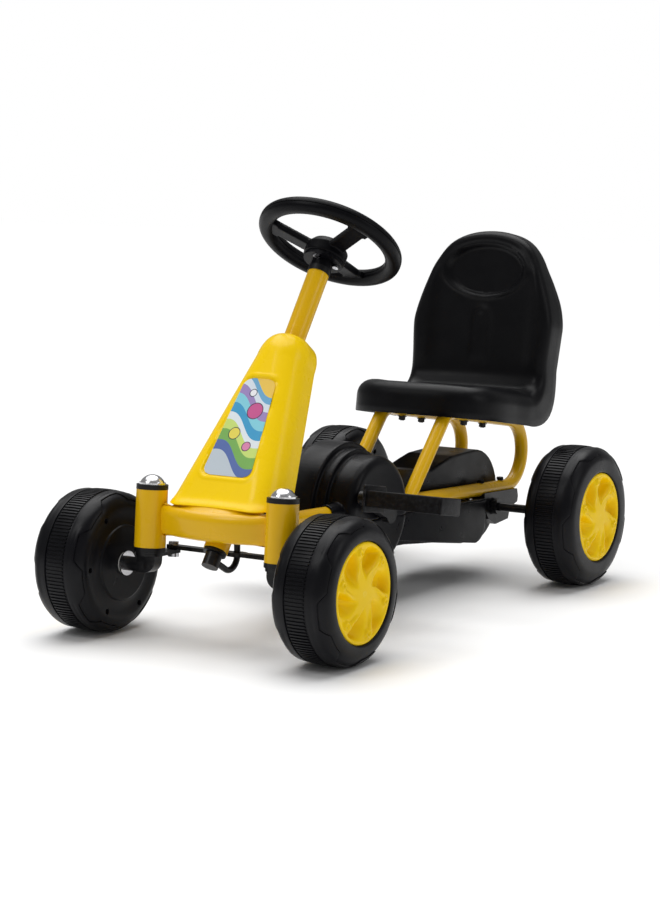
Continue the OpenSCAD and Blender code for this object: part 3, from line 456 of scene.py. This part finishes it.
def tread_angles():
    """Angles round the tread and how far each is up its rib, from 0 to 1."""
    turn = np.array([(k + at) * 2 * math.pi / RIBS for k in range(RIBS) for at, _ in RIB_STEPS])
    rib = np.array([up for _ in range(RIBS) for _, up in RIB_STEPS], float)
    return turn, rib


def zigzag(turn):
    """Trapezoid wave from 0 to 1, one for each tread block."""
    p = (turn * BLOCKS / (2 * math.pi)) % 1
    rise = np.clip((p - 0.34) / 0.14, 0, 1)
    fall = np.clip((p - 0.84) / 0.14, 0, 1)
    return rise - fall


def shoulder(turn, phase):
    """Stations on a shoulder from the tread outwards: angle round the arc in degrees and height."""
    edge = 24 + 36 * zigzag(turn + phase)
    stations = [(np.full_like(turn, 3.0), BAND_UP)]
    stations += [(3 + (edge - 6) * share, 0.25) for share in (0.35, 0.7, 1.0)]
    stations += [(edge - 1.6, 0.15), (edge - 0.4, -1.5), (edge + 1.2, -1.7), (edge + 3.0, -1.0)]
    stations += [(edge + 3 + (SHOULDER_END - edge - 3) * share, -1.0 + share * 0.8)
                 for share in (0.3, 0.55, 0.78, 1.0)]
    return stations


def nearest(turn, rho, circle_r, angles):
    """Distance from the nearest of some points on a circle."""
    return np.min([np.hypot(rho - circle_r, circle_r * ((turn - a + math.pi) % (2 * math.pi) - math.pi))
                   for a in angles], axis=0)


def wheel_points(radius, width):
    """Grid of (along the axle, y, z): one row for each angle, one column for each station. The stations run
    from the bore over the inner face, the tread and the outer lip, and back inside the hubcap to the bore."""
    turn, rib = tread_angles()
    half = width / 2
    inner_face = -half + FACE_STEP
    inner_middle, outer_middle = inner_face + SHOULDER_R, half - SHOULDER_R
    columns = []

    def station(a, rho):
        columns.append((np.broadcast_to(a, turn.shape), np.broadcast_to(rho, turn.shape)))

    def face_station(rho):
        near = nearest(turn, rho, DIMPLE_R, [k * math.pi / 3 for k in range(6)])
        dip = 1.3 * bump(57, 9, rho)
        station(inner_face + dip + DIMPLE_DEPTH * (1 - smooth(2.9, 3.7, near)), rho)

    def shoulder_line(direction, middle, phase):
        """Stations of a shoulder whose arc has its centre at middle, from the tread outwards."""
        return [(middle + direction * (SHOULDER_R + up) * np.sin(np.radians(angle)),
                 radius - SHOULDER_R - CROWN + (SHOULDER_R + up) * np.cos(np.radians(angle)))
                for angle, up in shoulder(turn, phase)]

    for rho in (10, 15, 30, 45, 46.4):
        station(-half, rho)
    for rho, a in ((47.2, -half + 0.5), (48.2, inner_face + 0.2)):
        station(a, rho)
    for rho in between(50, 61, 4) + between(62, 70, 13):
        face_station(rho)
    for a, rho in shoulder_line(-1, inner_middle, math.pi / BLOCKS)[::-1]:
        station(a, rho)
    crown = CROWN / max(abs(inner_middle), outer_middle) ** 2
    tread = [(a, BAND_UP) for a in between(inner_middle + 1, -16, 3)] + [(-a, up) for a, up in GROOVE]
    tread += [(a, RIB_HEIGHT * (rib - 1)) for a in between(-12.4, 12.4, 5)] + GROOVE[::-1]
    tread += [(a, BAND_UP) for a in between(16, outer_middle - 1, 3)]
    for a, up in tread:
        station(a, radius - crown * a * a + up)
    for a, rho in shoulder_line(1, outer_middle, 0.0):
        station(a, rho)
    lip = CAP_R + 0.6
    for a, rho in ((half, radius - SHOULDER_R - 2.5), (half + 0.2, lip + 4), (half, lip + 1.6),
                   (half - 0.5, lip + 0.5), (half - 1.4, lip), (half - CAP_SEAT, lip),
                   (half - CAP_SEAT, lip - 5), (half - 10, lip - 5), (half - 12, lip + 2),
                   (inner_face + 6, lip + 6), (inner_face + 5, 14), (inner_face + 5, 10)):
        station(a, rho)
    points = np.empty((len(turn), len(columns), 3))
    for j, (a, rho) in enumerate(columns):
        points[:, j, 0] = a
        points[:, j, 1] = rho * np.cos(turn)
        points[:, j, 2] = rho * np.sin(turn)
    return points


def scoop_lean(rho):
    """Angle by which a scoop has leaned over at a radius."""
    return SCOOP_LEAN * (rho - SCOOP_START) / SCOOP_REACH


def cap_points(count=240):
    """Height field of the hubcap: a smooth middle, six leaning scoops and a round boss between each two."""
    turn = np.arange(count) * 2 * math.pi / count
    radii = [0.001] + between(3, 12, 4) + between(13.5, 57, 42) + [58.2, 59.4, 60.4, 61.0, 61.4, CAP_R, CAP_R]
    rim_drop = [0] * (len(radii) - 7) + [0, -0.1, -0.5, -1.0, -1.9, -3.2, -CAP_SEAT]
    pitch = 2 * math.pi / SCOOPS
    boss_turn = np.arange(SCOOPS) * pitch - scoop_lean(BOSS_R)
    points = np.empty((count, len(radii), 3))
    for j, (rho, drop) in enumerate(zip(radii, rim_drop)):
        across = ((turn + scoop_lean(rho)) % pitch - pitch / 2) * rho
        half = 3 + 15 * smooth(14, 46, rho)
        wall = smooth(-half, -0.62 * half, across) * (1 - smooth(-0.35 * half, half, across))
        height = -SCOOP_DEPTH * wall * smooth(15, 40, rho) * (1 - smooth(49, 58, rho))
        height += 2.8 * bump(-half - 1, 4, across) * smooth(20, 38, rho) * (1 - smooth(48, 57, rho))
        height += 1.2 * (1 - smooth(8, 34, rho)) - 1.0 * smooth(24, 44, rho) * (1 - smooth(53, 58, rho))
        away = nearest(turn, rho, BOSS_R, boss_turn)
        height += 3.0 * (1 - smooth(4.4, 6.2, away)) - 1.3 * (1 - smooth(1.6, 3.0, away))
        points[:, j, 0] = height - 0.8 + drop
        points[:, j, 1] = rho * np.cos(turn)
        points[:, j, 2] = rho * np.sin(turn)
    return points


def make_wheel(name, joint, body, suffix, side):
    """Tyre and hubcap of one wheel. Their local X points outwards."""
    lo, hi = node_box(f"{name}_tyre_{suffix}")
    radius, width = (hi[2] - lo[2]) / 2, hi[0] - lo[0]
    place = np.eye(4)
    place[:3, 3] = joint_place(joint)
    place[0, 3] = (lo[0] + hi[0]) / 2
    place[0, 0] = side
    tyre = grid_object(f"{name}_wheel_{suffix}", wheel_points(radius, width), place,
                       close_rows=True, close_columns=True, flip=side < 0)
    finish_piece(tyre, body, "wheel_plastic", f"{name}_tyre_{suffix}", sharp=42)
    place[0, 3] += side * width / 2
    cap = grid_object(f"{name}_cap_{suffix}", cap_points(), place, close_rows=True, flip=side < 0)
    with_modifier(cap, "SOLIDIFY", thickness=CAP_WALL * MM, offset=-1.0)
    finish_piece(cap, body, "yellow_cap", f"{name}_hubcap_{suffix}", sharp=60)


for suffix, side in SIDES.items():
    make_wheel("front", f"front_wheel_{suffix}_spin", f"front_wheel_{suffix}", suffix, side)
    make_wheel("rear", "rear_axle_spin", "rear_axle", suffix, side)


# ---------------------------------------------------------------- seat

seat_top = next(m for m in frame["record"]["mounts"] if m["name"] == "seat_top")
PAN_TOP = 38
MOUNT_BACK = 110        # the mount on the pan stands this far in front of the seat frame's origin
seat_up = np.array(seat_top["axis"], float)
seat_back_dir = np.array([0, seat_up[2], -seat_up[1]])
SEAT = axes_frame(np.array(seat_top["pos_m"]) / MM + MOUNT_BACK * seat_back_dir - PAN_TOP * seat_up,
                  seat_back_dir, seat_up)
PAN_FRONT = -214
NOSE_V = -100           # in front of this the pan narrows and rounds off
CREASE_START = -50      # where the pan begins to turn up into the backrest
CREASE_R = 30
CREASE_END = CREASE_START + CREASE_R * math.pi / 2
BACK_TOP = 272
BACK_START = PAN_TOP + CREASE_R
WAIST, WIDEST = 76, 135  # heights where the backrest is narrowest and widest
NOSE_HALF, PAN_HALF, WAIST_HALF, BACK_HALF = 112, 114, 110, 113
OVAL_HALF_WIDTH, OVAL_HALF_HEIGHT, OVAL_MIDDLE = 63.0, 36.5, 214    # the sunk oval of the backrest
SPINE_INSET = 96        # the spine, from which the skin's rays start, ends this far inside the outline
SEAT_WALL = 3.6
RAIL_GAP = 0.6
RAIL_CUT = (-199, 60)


def back_t(w):
    """Distance along the seat's skin at height w of the backrest."""
    return CREASE_END + w - BACK_START


def evenly(points, count):
    """Points of a line spaced out evenly along it."""
    points = np.array(points, float)
    walked = np.concatenate([[0], np.cumsum(np.linalg.norm(np.diff(points, axis=0), axis=1))])
    stops = np.linspace(0, walked[-1], count)
    return np.stack([np.interp(stops, walked, points[:, k]) for k in range(2)], -1)


def seat_outline():
    """Right half of the outline from the front's middle to the top's middle, as (u, t)."""
    points = []
    for a in between(0, math.pi / 2, 120):
        points.append((NOSE_HALF * math.sin(a) ** 0.6, NOSE_V + (PAN_FRONT - NOSE_V) * math.cos(a) ** 0.6))
    for t in between(NOSE_V + 4, back_t(WIDEST) - 4, 60):
        half = NOSE_HALF + (PAN_HALF - NOSE_HALF) * smooth(NOSE_V, -50, t)
        half -= (PAN_HALF - WAIST_HALF) * smooth(-45, back_t(WAIST), t)
        half += (BACK_HALF - WAIST_HALF) * smooth(back_t(WAIST), back_t(WIDEST), t)
        points.append((half, t))
    for h in 1 - np.linspace(1, 0, 160) ** 1.7:
        half = BACK_HALF * (1 - 0.47 * h ** 1.45) * math.sqrt(max(0.0, 1 - h ** 11))
        points.append((half, back_t(WIDEST + (BACK_TOP - WIDEST) * h)))
    return evenly(points, 150)


def seat_skin(u, t, lift=0.0):
    """Point of the seat's skin in the seat frame; lift is a height above the skin."""
    turn = np.clip((t - CREASE_START) / CREASE_R, 0, math.pi / 2)
    v = np.minimum(t, CREASE_START) + CREASE_R * np.sin(turn)
    w = PAN_TOP + CREASE_R * (1 - np.cos(turn)) + np.maximum(t - CREASE_END, 0)
    v = v + (3 - 11 * (u / BACK_HALF) ** 2) * smooth(-90, CREASE_END + 12, t)
    side = np.abs(u)
    pan = 1 - smooth(-76, -38, t)
    back = smooth(CREASE_END - 6, CREASE_END + 30, t)
    shape = -4.5 * (1 - smooth(48, 96, side)) * smooth(-205, -150, t) * pan
    shape += 2.4 * bump(90, 14, side) * pan * smooth(-190, -140, t)
    shape += 3.2 * bump(88, 13, side) * back * (1 - smooth(205, 250, w))
    shape -= 2.2 * bump(-28, 5.5, t) * (1 - smooth(76, 94, side))
    shape += 2.0 * bump(-41, 8, t) * (1 - smooth(76, 96, side))
    oval = np.sqrt((u / OVAL_HALF_WIDTH) ** 2 + ((w - OVAL_MIDDLE) / OVAL_HALF_HEIGHT) ** 2)
    shape -= 4.6 * (1 - smooth(0.90, 1.0, oval)) * back
    shape += 2.2 * bump(1.08, 0.06, oval) * back
    shape += 2.4 * bump(1.40, 0.14, oval) * smooth(200, 228, w) * back
    channel = (1 - smooth(13, 19, side)) * smooth(70, 92, w) * (1 - smooth(140, 164, w)) * back
    shape -= 1.5 * channel
    shape -= 2.6 * bump(-2, 9, u) * bump(156, 6, w) * back
    ny, nz = -np.sin(turn), np.cos(turn)
    lifted = shape + lift
    return np.stack([u, v + ny * lifted, w + nz * lifted], -1)


def make_seat():
    """Open shell: rings of skin from the spine to the outline, then the rolled edge and the skirt."""
    half = seat_outline()
    outline = np.vstack([half, half[-2:0:-1] * [-1, 1]])
    t_edge = outline[:, 1]
    spine_t = np.clip(t_edge, PAN_FRONT + SPINE_INSET, back_t(BACK_TOP) - SPINE_INSET)
    spine = np.stack([0 * spine_t, spine_t], -1)
    reach = np.linalg.norm(outline - spine, axis=1)
    roll = 22 - 7 * smooth(-80, 20, t_edge)
    depth = 46 + 9 * bump(-24, 15, t_edge) + 3 * smooth(-10, 20, t_edge) + 7 * smooth(50, 110, t_edge)
    depth -= 24 * smooth(back_t(130), back_t(BACK_TOP), t_edge)
    rings = []
    for share in between(0, 1, 30):
        uv = spine + (outline - spine) * (share * (1 - roll / reach))[:, None]
        rings.append(seat_skin(uv[:, 0], uv[:, 1]))
    for angle in between(12, 90, 7):
        sin, cos = math.sin(math.radians(angle)), math.cos(math.radians(angle))
        uv = spine + (outline - spine) * (1 - roll * (1 - sin) / reach)[:, None]
        rings.append(seat_skin(uv[:, 0], uv[:, 1], -roll * (1 - cos)))
    for share in (0.25, 0.6, 0.94, 1.0):
        uv = outline * (1 - 0.006 * (share > 0.95))
        rings.append(seat_skin(uv[:, 0], uv[:, 1], -(roll + (depth - roll) * share)))
    points = np.stack(rings, 1)
    seat = grid_object("seat_shell", points, SEAT, close_rows=True)
    with_modifier(seat, "WELD", merge_threshold=0.05 * MM)
    with_modifier(seat, "SOLIDIFY", thickness=SEAT_WALL * MM, offset=-1.0)
    rail_lo, rail_hi = node_box("frame_tube_left")
    room = (rail_hi[0] - rail_lo[0]) / 2 + RAIL_GAP
    for side in SIDES.values():
        x = side * (rail_lo[0] + rail_hi[0]) / 2
        carve(seat, rod("rail_cut", *moved([(x, v, 0) for v in RAIL_CUT], SEAT), room, sides=40))
        carve(seat, block("slot_cut", (x - room, RAIL_CUT[0], -40), (x + room, RAIL_CUT[1], 0), SEAT))
    finish_piece(seat, "chassis", "seat_plastic", "seat", sharp=50)


make_seat()


# ---------------------------------------------------------------- cowl and its printed panel

# in the column's frame, where S runs up the column
COWL_REAR = 18
COWL_FRONT = 36
COWL_FOOT_HALF, COWL_FOOT_S = 87, 30
COWL_TOP_HALF, COWL_TOP_S = 36, 285
COWL_CROWN = 37         # height of the rounded top above COWL_TOP_S
COWL_CORNER = 33
COWL_WALL = 2.3
COWL_HEM = 3.0          # how far the lower edge flares out
TUBE_R = 14.6           # the column tube with a little air
PANEL_SINK = 1.8
PANEL_RIM = 2.4         # the sunk field reaches this far beyond the printed film
FILM_DEPTH = 1.15       # of the film's face below the cowl's front
FILM_THICK = 0.5
PANEL_FOOT_S, PANEL_TOP_S = 108, 246
PANEL_FOOT_HALF, PANEL_TOP_HALF = 36, 23
PANEL_CORNER = 12


def panel_half(share):
    """Half width of the panel at a share of its height."""
    return PANEL_FOOT_HALF + (PANEL_TOP_HALF - PANEL_FOOT_HALF) * share


def panel_distance(x, s, grow):
    """Signed distance to the rounded trapezoid of the panel, below 0 inside."""
    share = (s - PANEL_FOOT_S) / (PANEL_TOP_S - PANEL_FOOT_S)
    half = panel_half(np.clip(share, -0.1, 1.1)) + grow
    middle = (PANEL_FOOT_S + PANEL_TOP_S) / 2
    dx = np.abs(x) - half + PANEL_CORNER
    ds = np.abs(s - middle) - (PANEL_TOP_S - PANEL_FOOT_S) / 2 - grow + PANEL_CORNER
    return np.hypot(np.maximum(dx, 0), np.maximum(ds, 0)) + np.minimum(np.maximum(dx, ds), 0) - PANEL_CORNER


def cowl_section(half, front, corner, rear):
    """Open outline round the front, from the left rear edge to the right one."""
    flat = half - corner
    left = [(half, y) for y in between(rear, -front + corner, 12)]
    left += [(half - corner * (1 - math.cos(a)), -front + corner * (1 - math.sin(a)))
             for a in between(0, math.pi / 2, 14)[1:]]
    middle = [(x, -front) for x in between(flat, -flat, 84)[1:-1]]
    return np.array(left + middle + [(-x, y) for x, y in left[::-1]])


def make_cowl():
    """Tapering shell that ends level at the bottom and closes round the tube at the top."""
    bottom = node_box("cowl")[0][2]
    lean = math.atan2(steer_axis[1], steer_axis[2])
    taper = (COWL_TOP_HALF - COWL_FOOT_HALF) / (COWL_TOP_S - COWL_FOOT_S)
    rows = []
    for s_line in between(COWL_FOOT_S, COWL_TOP_S, 190):
        half = COWL_FOOT_HALF + taper * (s_line - COWL_FOOT_S)
        rows.append((s_line, half, COWL_FRONT, COWL_CORNER, COWL_REAR))
    for a in between(0, math.pi / 2, 16)[1:]:
        c, s = math.cos(a), math.sin(a)
        rows.append((COWL_TOP_S + COWL_CROWN * s, TUBE_R + (COWL_TOP_HALF - TUBE_R) * c,
                     TUBE_R + (COWL_FRONT - TUBE_R) * c ** 0.9, TUBE_R + (COWL_CORNER - TUBE_R) * c,
                     TUBE_R + (COWL_REAR - TUBE_R) * c))
    grid = []
    for s_line, half, front, corner, rear in rows:
        outline = cowl_section(half, front, min(corner, half - 0.05), rear)
        x, y = outline[:, 0], outline[:, 1]
        low = (bottom - COLUMN_FOOT_Z + y * math.sin(lean)) / math.cos(lean) + 1.5 * bump(0, 60, x)
        s = np.full_like(x, s_line)
        if s_line <= COWL_TOP_S:
            s = low + (s_line - COWL_FOOT_S) / (COWL_TOP_S - COWL_FOOT_S) * (COWL_TOP_S - low)
            x = x * (half + (s - s_line) * taper) / half
        on_front = 1 - smooth(-front + 0.5, -front + 4, y)
        distance = panel_distance(x, s, PANEL_RIM)
        sunk = PANEL_SINK * (1 - smooth(-1.8, 0.0, distance)) * on_front
        bead = 0.7 * bump(2.8, 2.4, distance) * on_front
        flared = COWL_HEM * bump(0, 9, s - low) * (1 - smooth(-front + 6, 8, y))
        grid.append(np.stack([x, y + sunk - bead - flared, s], -1))
    cowl = grid_object("cowl_shell", np.array(grid), COLUMN, flip=True)
    with_modifier(cowl, "SOLIDIFY", thickness=COWL_WALL * MM, offset=-1.0)
    finish_piece(cowl, "chassis", "yellow_shell", "cowl", sharp=35)


def make_badge():
    """Thin printed film lying in the cowl's panel."""
    across, up = 41, 61
    grid = np.empty((up, across, 3))
    for i, s in enumerate(between(PANEL_FOOT_S, PANEL_TOP_S, up)):
        half = panel_half((s - PANEL_FOOT_S) / (PANEL_TOP_S - PANEL_FOOT_S))
        from_end = min(s - PANEL_FOOT_S, PANEL_TOP_S - s)
        half -= PANEL_CORNER - math.sqrt(max(0, PANEL_CORNER ** 2 - max(0, PANEL_CORNER - from_end) ** 2))
        for j, x in enumerate(between(-half, half, across)):
            grid[i, j] = (x, -COWL_FRONT + FILM_DEPTH, s)
    film = grid_object("badge_film", grid, COLUMN)
    with_modifier(film, "SOLIDIFY", thickness=FILM_THICK * MM, offset=-1.0)
    finish_piece(film, "chassis", "badge", "cowl_badge", sharp=30)


make_cowl()
make_badge()


# ---------------------------------------------------------------- front beam

def rounded_section(front, rear, bottom, top, corner, steps=9):
    """Closed rounded rectangle of (y, z) points."""
    points = []
    for cy, cz, start in ((rear - corner, top - corner, 0), (front + corner, top - corner, 90),
                          (front + corner, bottom + corner, 180), (rear - corner, bottom + corner, 270)):
        for a in between(start, start + 90, steps):
            points.append((cy + corner * math.cos(math.radians(a)), cz + corner * math.sin(math.radians(a))))
    return points


BEAM_CORNER = 11.5
BEAM_BOW = 180          # radius of the front edge, seen from above
BEAM_RIDGE = 7          # how much higher the rear of the beam is, under the cowl
BEAM_END_GAP = 8        # from a kingpin's axis to the beam's end


def make_beam():
    """Curved pressed beam that flares where it is welded to the kingpin sleeves."""
    lo, hi = node_box("front_beam")
    end = joint_place("kingpin_left")[0] - BEAM_END_GAP
    middle_z, half_h = (lo[2] + hi[2]) / 2, (hi[2] - lo[2]) / 2
    sections = []
    for x in between(-end, end, 90):
        flare = smooth(56, end - 4, abs(x)) ** 1.5
        front = lo[1] + BEAM_BOW - math.sqrt(BEAM_BOW ** 2 - x * x) + 1.5 * flare
        height = half_h + 2.0 * flare - 0.4
        section = rounded_section(front, hi[1] + 3 * flare, middle_z - height, middle_z + height, BEAM_CORNER)
        ridge = BEAM_RIDGE * (1 - smooth(64, 84, abs(x)))
        sections.append([(x, y, z + ridge * smooth(front + 13, front + 20, y) * (z > middle_z))
                         for y, z in section])
    beam = grid_object("beam_pressing", np.array(sections), close_columns=True)
    with_modifier(beam, "WELD", merge_threshold=0.01 * MM)
    finish_piece(beam, "chassis", "yellow_paint", "front_beam", sharp=50)


make_beam()


# ---------------------------------------------------------------- chain guard

for node in ("guard_upper", "guard_lower"):
    piece = moulded(node + "_shell", [cad_copy(node)], voxel=1.25, rounds=7, soft=0.6)
    finish_piece(piece, "chassis", "guard_plastic", node, sharp=70)


# ---------------------------------------------------------------- steering wheel

RIM_R = 11              # of the rim's section
PARTING = 0.9           # depth of the moulding's parting lines
SPOKE_SLOPE = math.radians(12)
HUB_R, HUB_TOP_R = 28, 21


def make_steering_wheel():
    """Rim with parting lines, and a sunk hub with three spokes that reach into the rim."""
    hi = local_box("steering_wheel", COLUMN)[1]
    ring_r = hi[0] - RIM_R
    wheel = COLUMN.copy()
    wheel[:3, 3] = moved([(0, 0, hi[2] - RIM_R)], COLUMN)[0]
    turn = np.arange(160) * 2 * math.pi / 160
    angles = [0, 2.2, 3.6, 8] + between(16, 164, 17) + [172, 176.4, 177.8, 180, 182.2, 183.6, 188]
    angles += between(196, 344, 17) + [352, 356.4, 357.8]
    grid = np.empty((len(turn), len(angles), 3))
    for j, angle in enumerate(angles):
        a = math.radians(angle)
        parting = PARTING if min(abs(angle - k) for k in (0, 180, 360)) < 3 else 0
        flat = (abs(math.cos(a)) ** 2.3 + abs(math.sin(a)) ** 2.3) ** (-1 / 2.3)
        r = min(RIM_R, (RIM_R - 0.35) * flat) - parting
        rho = ring_r + r * math.cos(a)
        grid[:, j, 0] = rho * np.cos(turn)
        grid[:, j, 1] = rho * np.sin(turn)
        grid[:, j, 2] = r * math.sin(a)
    rim = grid_object("steering_rim", grid, wheel, close_rows=True, close_columns=True)
    finish_piece(rim, "steering", "wheel_rim_plastic", "steering_wheel", sharp=55)
    parts = [rod("hub_low", *moved([(0, 0, -26), (0, 0, -11)], wheel), HUB_R, sides=96),
             rod("hub_top", *moved([(0, 0, -12), (0, 0, -3)], wheel), HUB_R, sides=96, radius_end=HUB_TOP_R)]
    for angle in (90, 210, 330):
        turned, sloped = np.eye(4), np.eye(4)
        a, b = math.radians(angle), SPOKE_SLOPE
        turned[:2, :2] = [[math.cos(a), -math.sin(a)], [math.sin(a), math.cos(a)]]
        sloped[:3, :3] = [[math.cos(b), 0, -math.sin(b)], [0, 1, 0], [math.sin(b), 0, math.cos(b)]]
        sloped[:3, 3] = (20, 0, -21)
        place = wheel @ turned @ sloped
        parts.append(block("spoke", (-4, -11, 2), (58, 11, 10.5), place))
        parts.append(block("spoke_rib", (-2, -7.5, 9.5), (57, 7.5, 13.5), place))
        parts.append(block("spoke_foot", (50, -14.5, 2), (61, 14.5, 10.5), place))
    spider = moulded("steering_spider", parts, voxel=0.9, rounds=8, soft=0.6)
    finish_piece(spider, "steering", "wheel_rim_plastic", "steering_wheel", sharp=70)


make_steering_wheel()


# ---------------------------------------------------------------- pedals

PEDAL_PITCH = math.radians(-10)
PEDAL_HALF_DEPTH, PEDAL_HALF_THICK = 24.6, 10.8
GRIPS, GRIP_PITCH, GRIP_WIDTH = 9, 11.4, 7


def make_pedal(suffix, side):
    """Block pedal: an inner flange, a body with grip bars on both faces, side rails and an outer cap."""
    lo, hi = node_box(f"pedal_{suffix}")
    centre = joint_place(f"pedal_{suffix}_spin")
    inner, outer = (lo[0], hi[0]) if side > 0 else (hi[0], lo[0])
    half_d, half_t = PEDAL_HALF_DEPTH, PEDAL_HALF_THICK

    def pad(x0, x1, y0, y1, z0, z1, bevel=1.0):
        """Bevelled box; x is counted outwards from the pedal's inner face, y and z from its spindle."""
        low, high = sorted((inner + side * x0, inner + side * x1))
        piece = block("pad", (low, centre[1] + y0, centre[2] + z0), (high, centre[1] + y1, centre[2] + z1))
        return with_modifier(piece, "BEVEL", width=bevel * MM, segments=3)

    length = abs(outer - inner)
    parts = [pad(0, 5, -26.6, 26.6, -17.6, 17.6, 4.0),
             pad(4, length - 1, -half_d + 1, half_d - 1, -half_t + 2.4, half_t - 2.4, 1.5),
             pad(length - 4, length, -half_d - 0.3, half_d + 0.3, -half_t - 0.3, half_t + 0.3, 1.6)]
    for k in range(GRIPS):
        x = 8 + k * GRIP_PITCH
        for z0, z1 in ((half_t - 4, half_t - 0.2), (-half_t + 0.2, -half_t + 4)):
            parts.append(pad(x, x + GRIP_WIDTH, -half_d + 3, half_d - 3, z0, z1))
    for y0, y1 in ((-half_d, -half_d + 4.5), (half_d - 4.5, half_d)):
        parts.append(pad(4.5, length - 2, y0, y1, -half_t, half_t, 1.6))
    for y in (-15, 15):
        parts.append(pad(-1.2, 1, y - 2.5, y + 2.5, -2.5, 2.5, 0.8))
    pedal = joined(f"pedal_block_{suffix}", parts)
    middle = Matrix.Translation(Vector(centre) * MM)
    pedal.data.transform(middle @ Matrix.Rotation(PEDAL_PITCH, 4, "X") @ middle.inverted())
    finish_piece(pedal, f"pedal_{suffix}", "pedal_plastic", f"pedal_{suffix}", sharp=45)


for suffix, side in SIDES.items():
    make_pedal(suffix, side)


# ---------------------------------------------------------------- materials of the CAD nodes that stay

for node, thing in NODES.items():
    thing.data.materials.clear()
    thing.data.materials.append(MATERIALS[SLOT_OF[node]])


# ---------------------------------------------------------------- camera, light and floor

CAMERA_PLACE = Vector((1.6208, -2.6200, 0.6375))
CAMERA_AZIMUTH = math.radians(32.317)
CAMERA_ELEVATION = math.radians(7.984)
CAMERA_ROLL = math.radians(0.226)
CAMERA_LENS = 93.34
LOOK_AT = (0, 0, 0.25)
FLOOR_HALF = 9000
FLOOR_COLOUR = (0.97, 0.97, 0.97, 1)
WHITE = (1, 1, 1, 1)
SKY_STRENGTH = 0.26
SUN_STRENGTH, SUN_WIDTH = 2.75, math.radians(62)
SUN_TURN = (math.radians(-14), math.radians(-12), 0)


def make_camera():
    data = bpy.data.cameras.new("camera")
    data.lens = CAMERA_LENS
    data.sensor_width = 36
    data.clip_end = 60
    camera = add_object("camera", data)
    a, e = CAMERA_AZIMUTH, CAMERA_ELEVATION
    back = Vector((math.sin(a) * math.cos(e), -math.cos(a) * math.cos(e), math.sin(e)))
    level = Vector((math.cos(a), math.sin(a), 0))
    right = level * math.cos(CAMERA_ROLL) + back.cross(level) * math.sin(CAMERA_ROLL)
    up = back.cross(right)
    turn = Matrix((right, up, back)).transposed().to_4x4()
    camera.matrix_world = Matrix.Translation(CAMERA_PLACE) @ turn
    bpy.context.scene.camera = camera


def make_light(name, place, size, power):
    """Rectangular lamp that faces the kart."""
    data = bpy.data.lights.new(name, "AREA")
    data.shape = "RECTANGLE"
    data.size, data.size_y = size
    data.energy = power
    light = add_object(name, data)
    light.location = place
    light.rotation_mode = "QUATERNION"
    light.rotation_quaternion = (Vector(LOOK_AT) - Vector(place)).to_track_quat("-Z", "Y")


def make_stage():
    """Pale floor, a wide sun from above and two lamps."""
    corners = [(x * FLOOR_HALF, y * FLOOR_HALF, 0) for x, y in ((-1, -1), (1, -1), (1, 1), (-1, 1))]
    floor = new_object("floor", corners, [(0, 1, 2, 3)])
    pale = bpy.data.materials.new("floor")
    pale.use_nodes = True
    shader = pale.node_tree.nodes["Principled BSDF"]
    shader.inputs["Base Color"].default_value = FLOOR_COLOUR
    shader.inputs["Roughness"].default_value = 0.6
    floor.data.materials.append(pale)
    sun = bpy.data.lights.new("overhead", "SUN")
    sun.energy = SUN_STRENGTH
    sun.angle = SUN_WIDTH
    add_object("overhead", sun).rotation_euler = SUN_TURN
    make_light("key", (-1.1, -2.2, 2.9), (1.1, 1.1), 20)
    make_light("side", (2.6, 0.4, 1.7), (0.9, 1.6), 9)


def make_world():
    """A dim grey studio that the camera sees as white."""
    world = bpy.data.worlds.new("studio")
    world.use_nodes = True
    tree = world.node_tree
    dim = tree.nodes["Background"]
    dim.inputs["Color"].default_value = WHITE
    dim.inputs["Strength"].default_value = SKY_STRENGTH
    white = tree.nodes.new("ShaderNodeBackground")
    white.inputs["Strength"].default_value = 1.0
    white.inputs["Color"].default_value = WHITE
    ray = tree.nodes.new("ShaderNodeLightPath")
    mix = tree.nodes.new("ShaderNodeMixShader")
    tree.links.new(ray.outputs["Is Camera Ray"], mix.inputs[0])
    tree.links.new(dim.outputs[0], mix.inputs[1])
    tree.links.new(white.outputs[0], mix.inputs[2])
    tree.links.new(mix.outputs[0], tree.nodes["World Output"].inputs["Surface"])
    bpy.context.scene.world = world


make_camera()
make_world()
make_stage()
bpy.context.scene.view_settings.view_transform = "Standard"
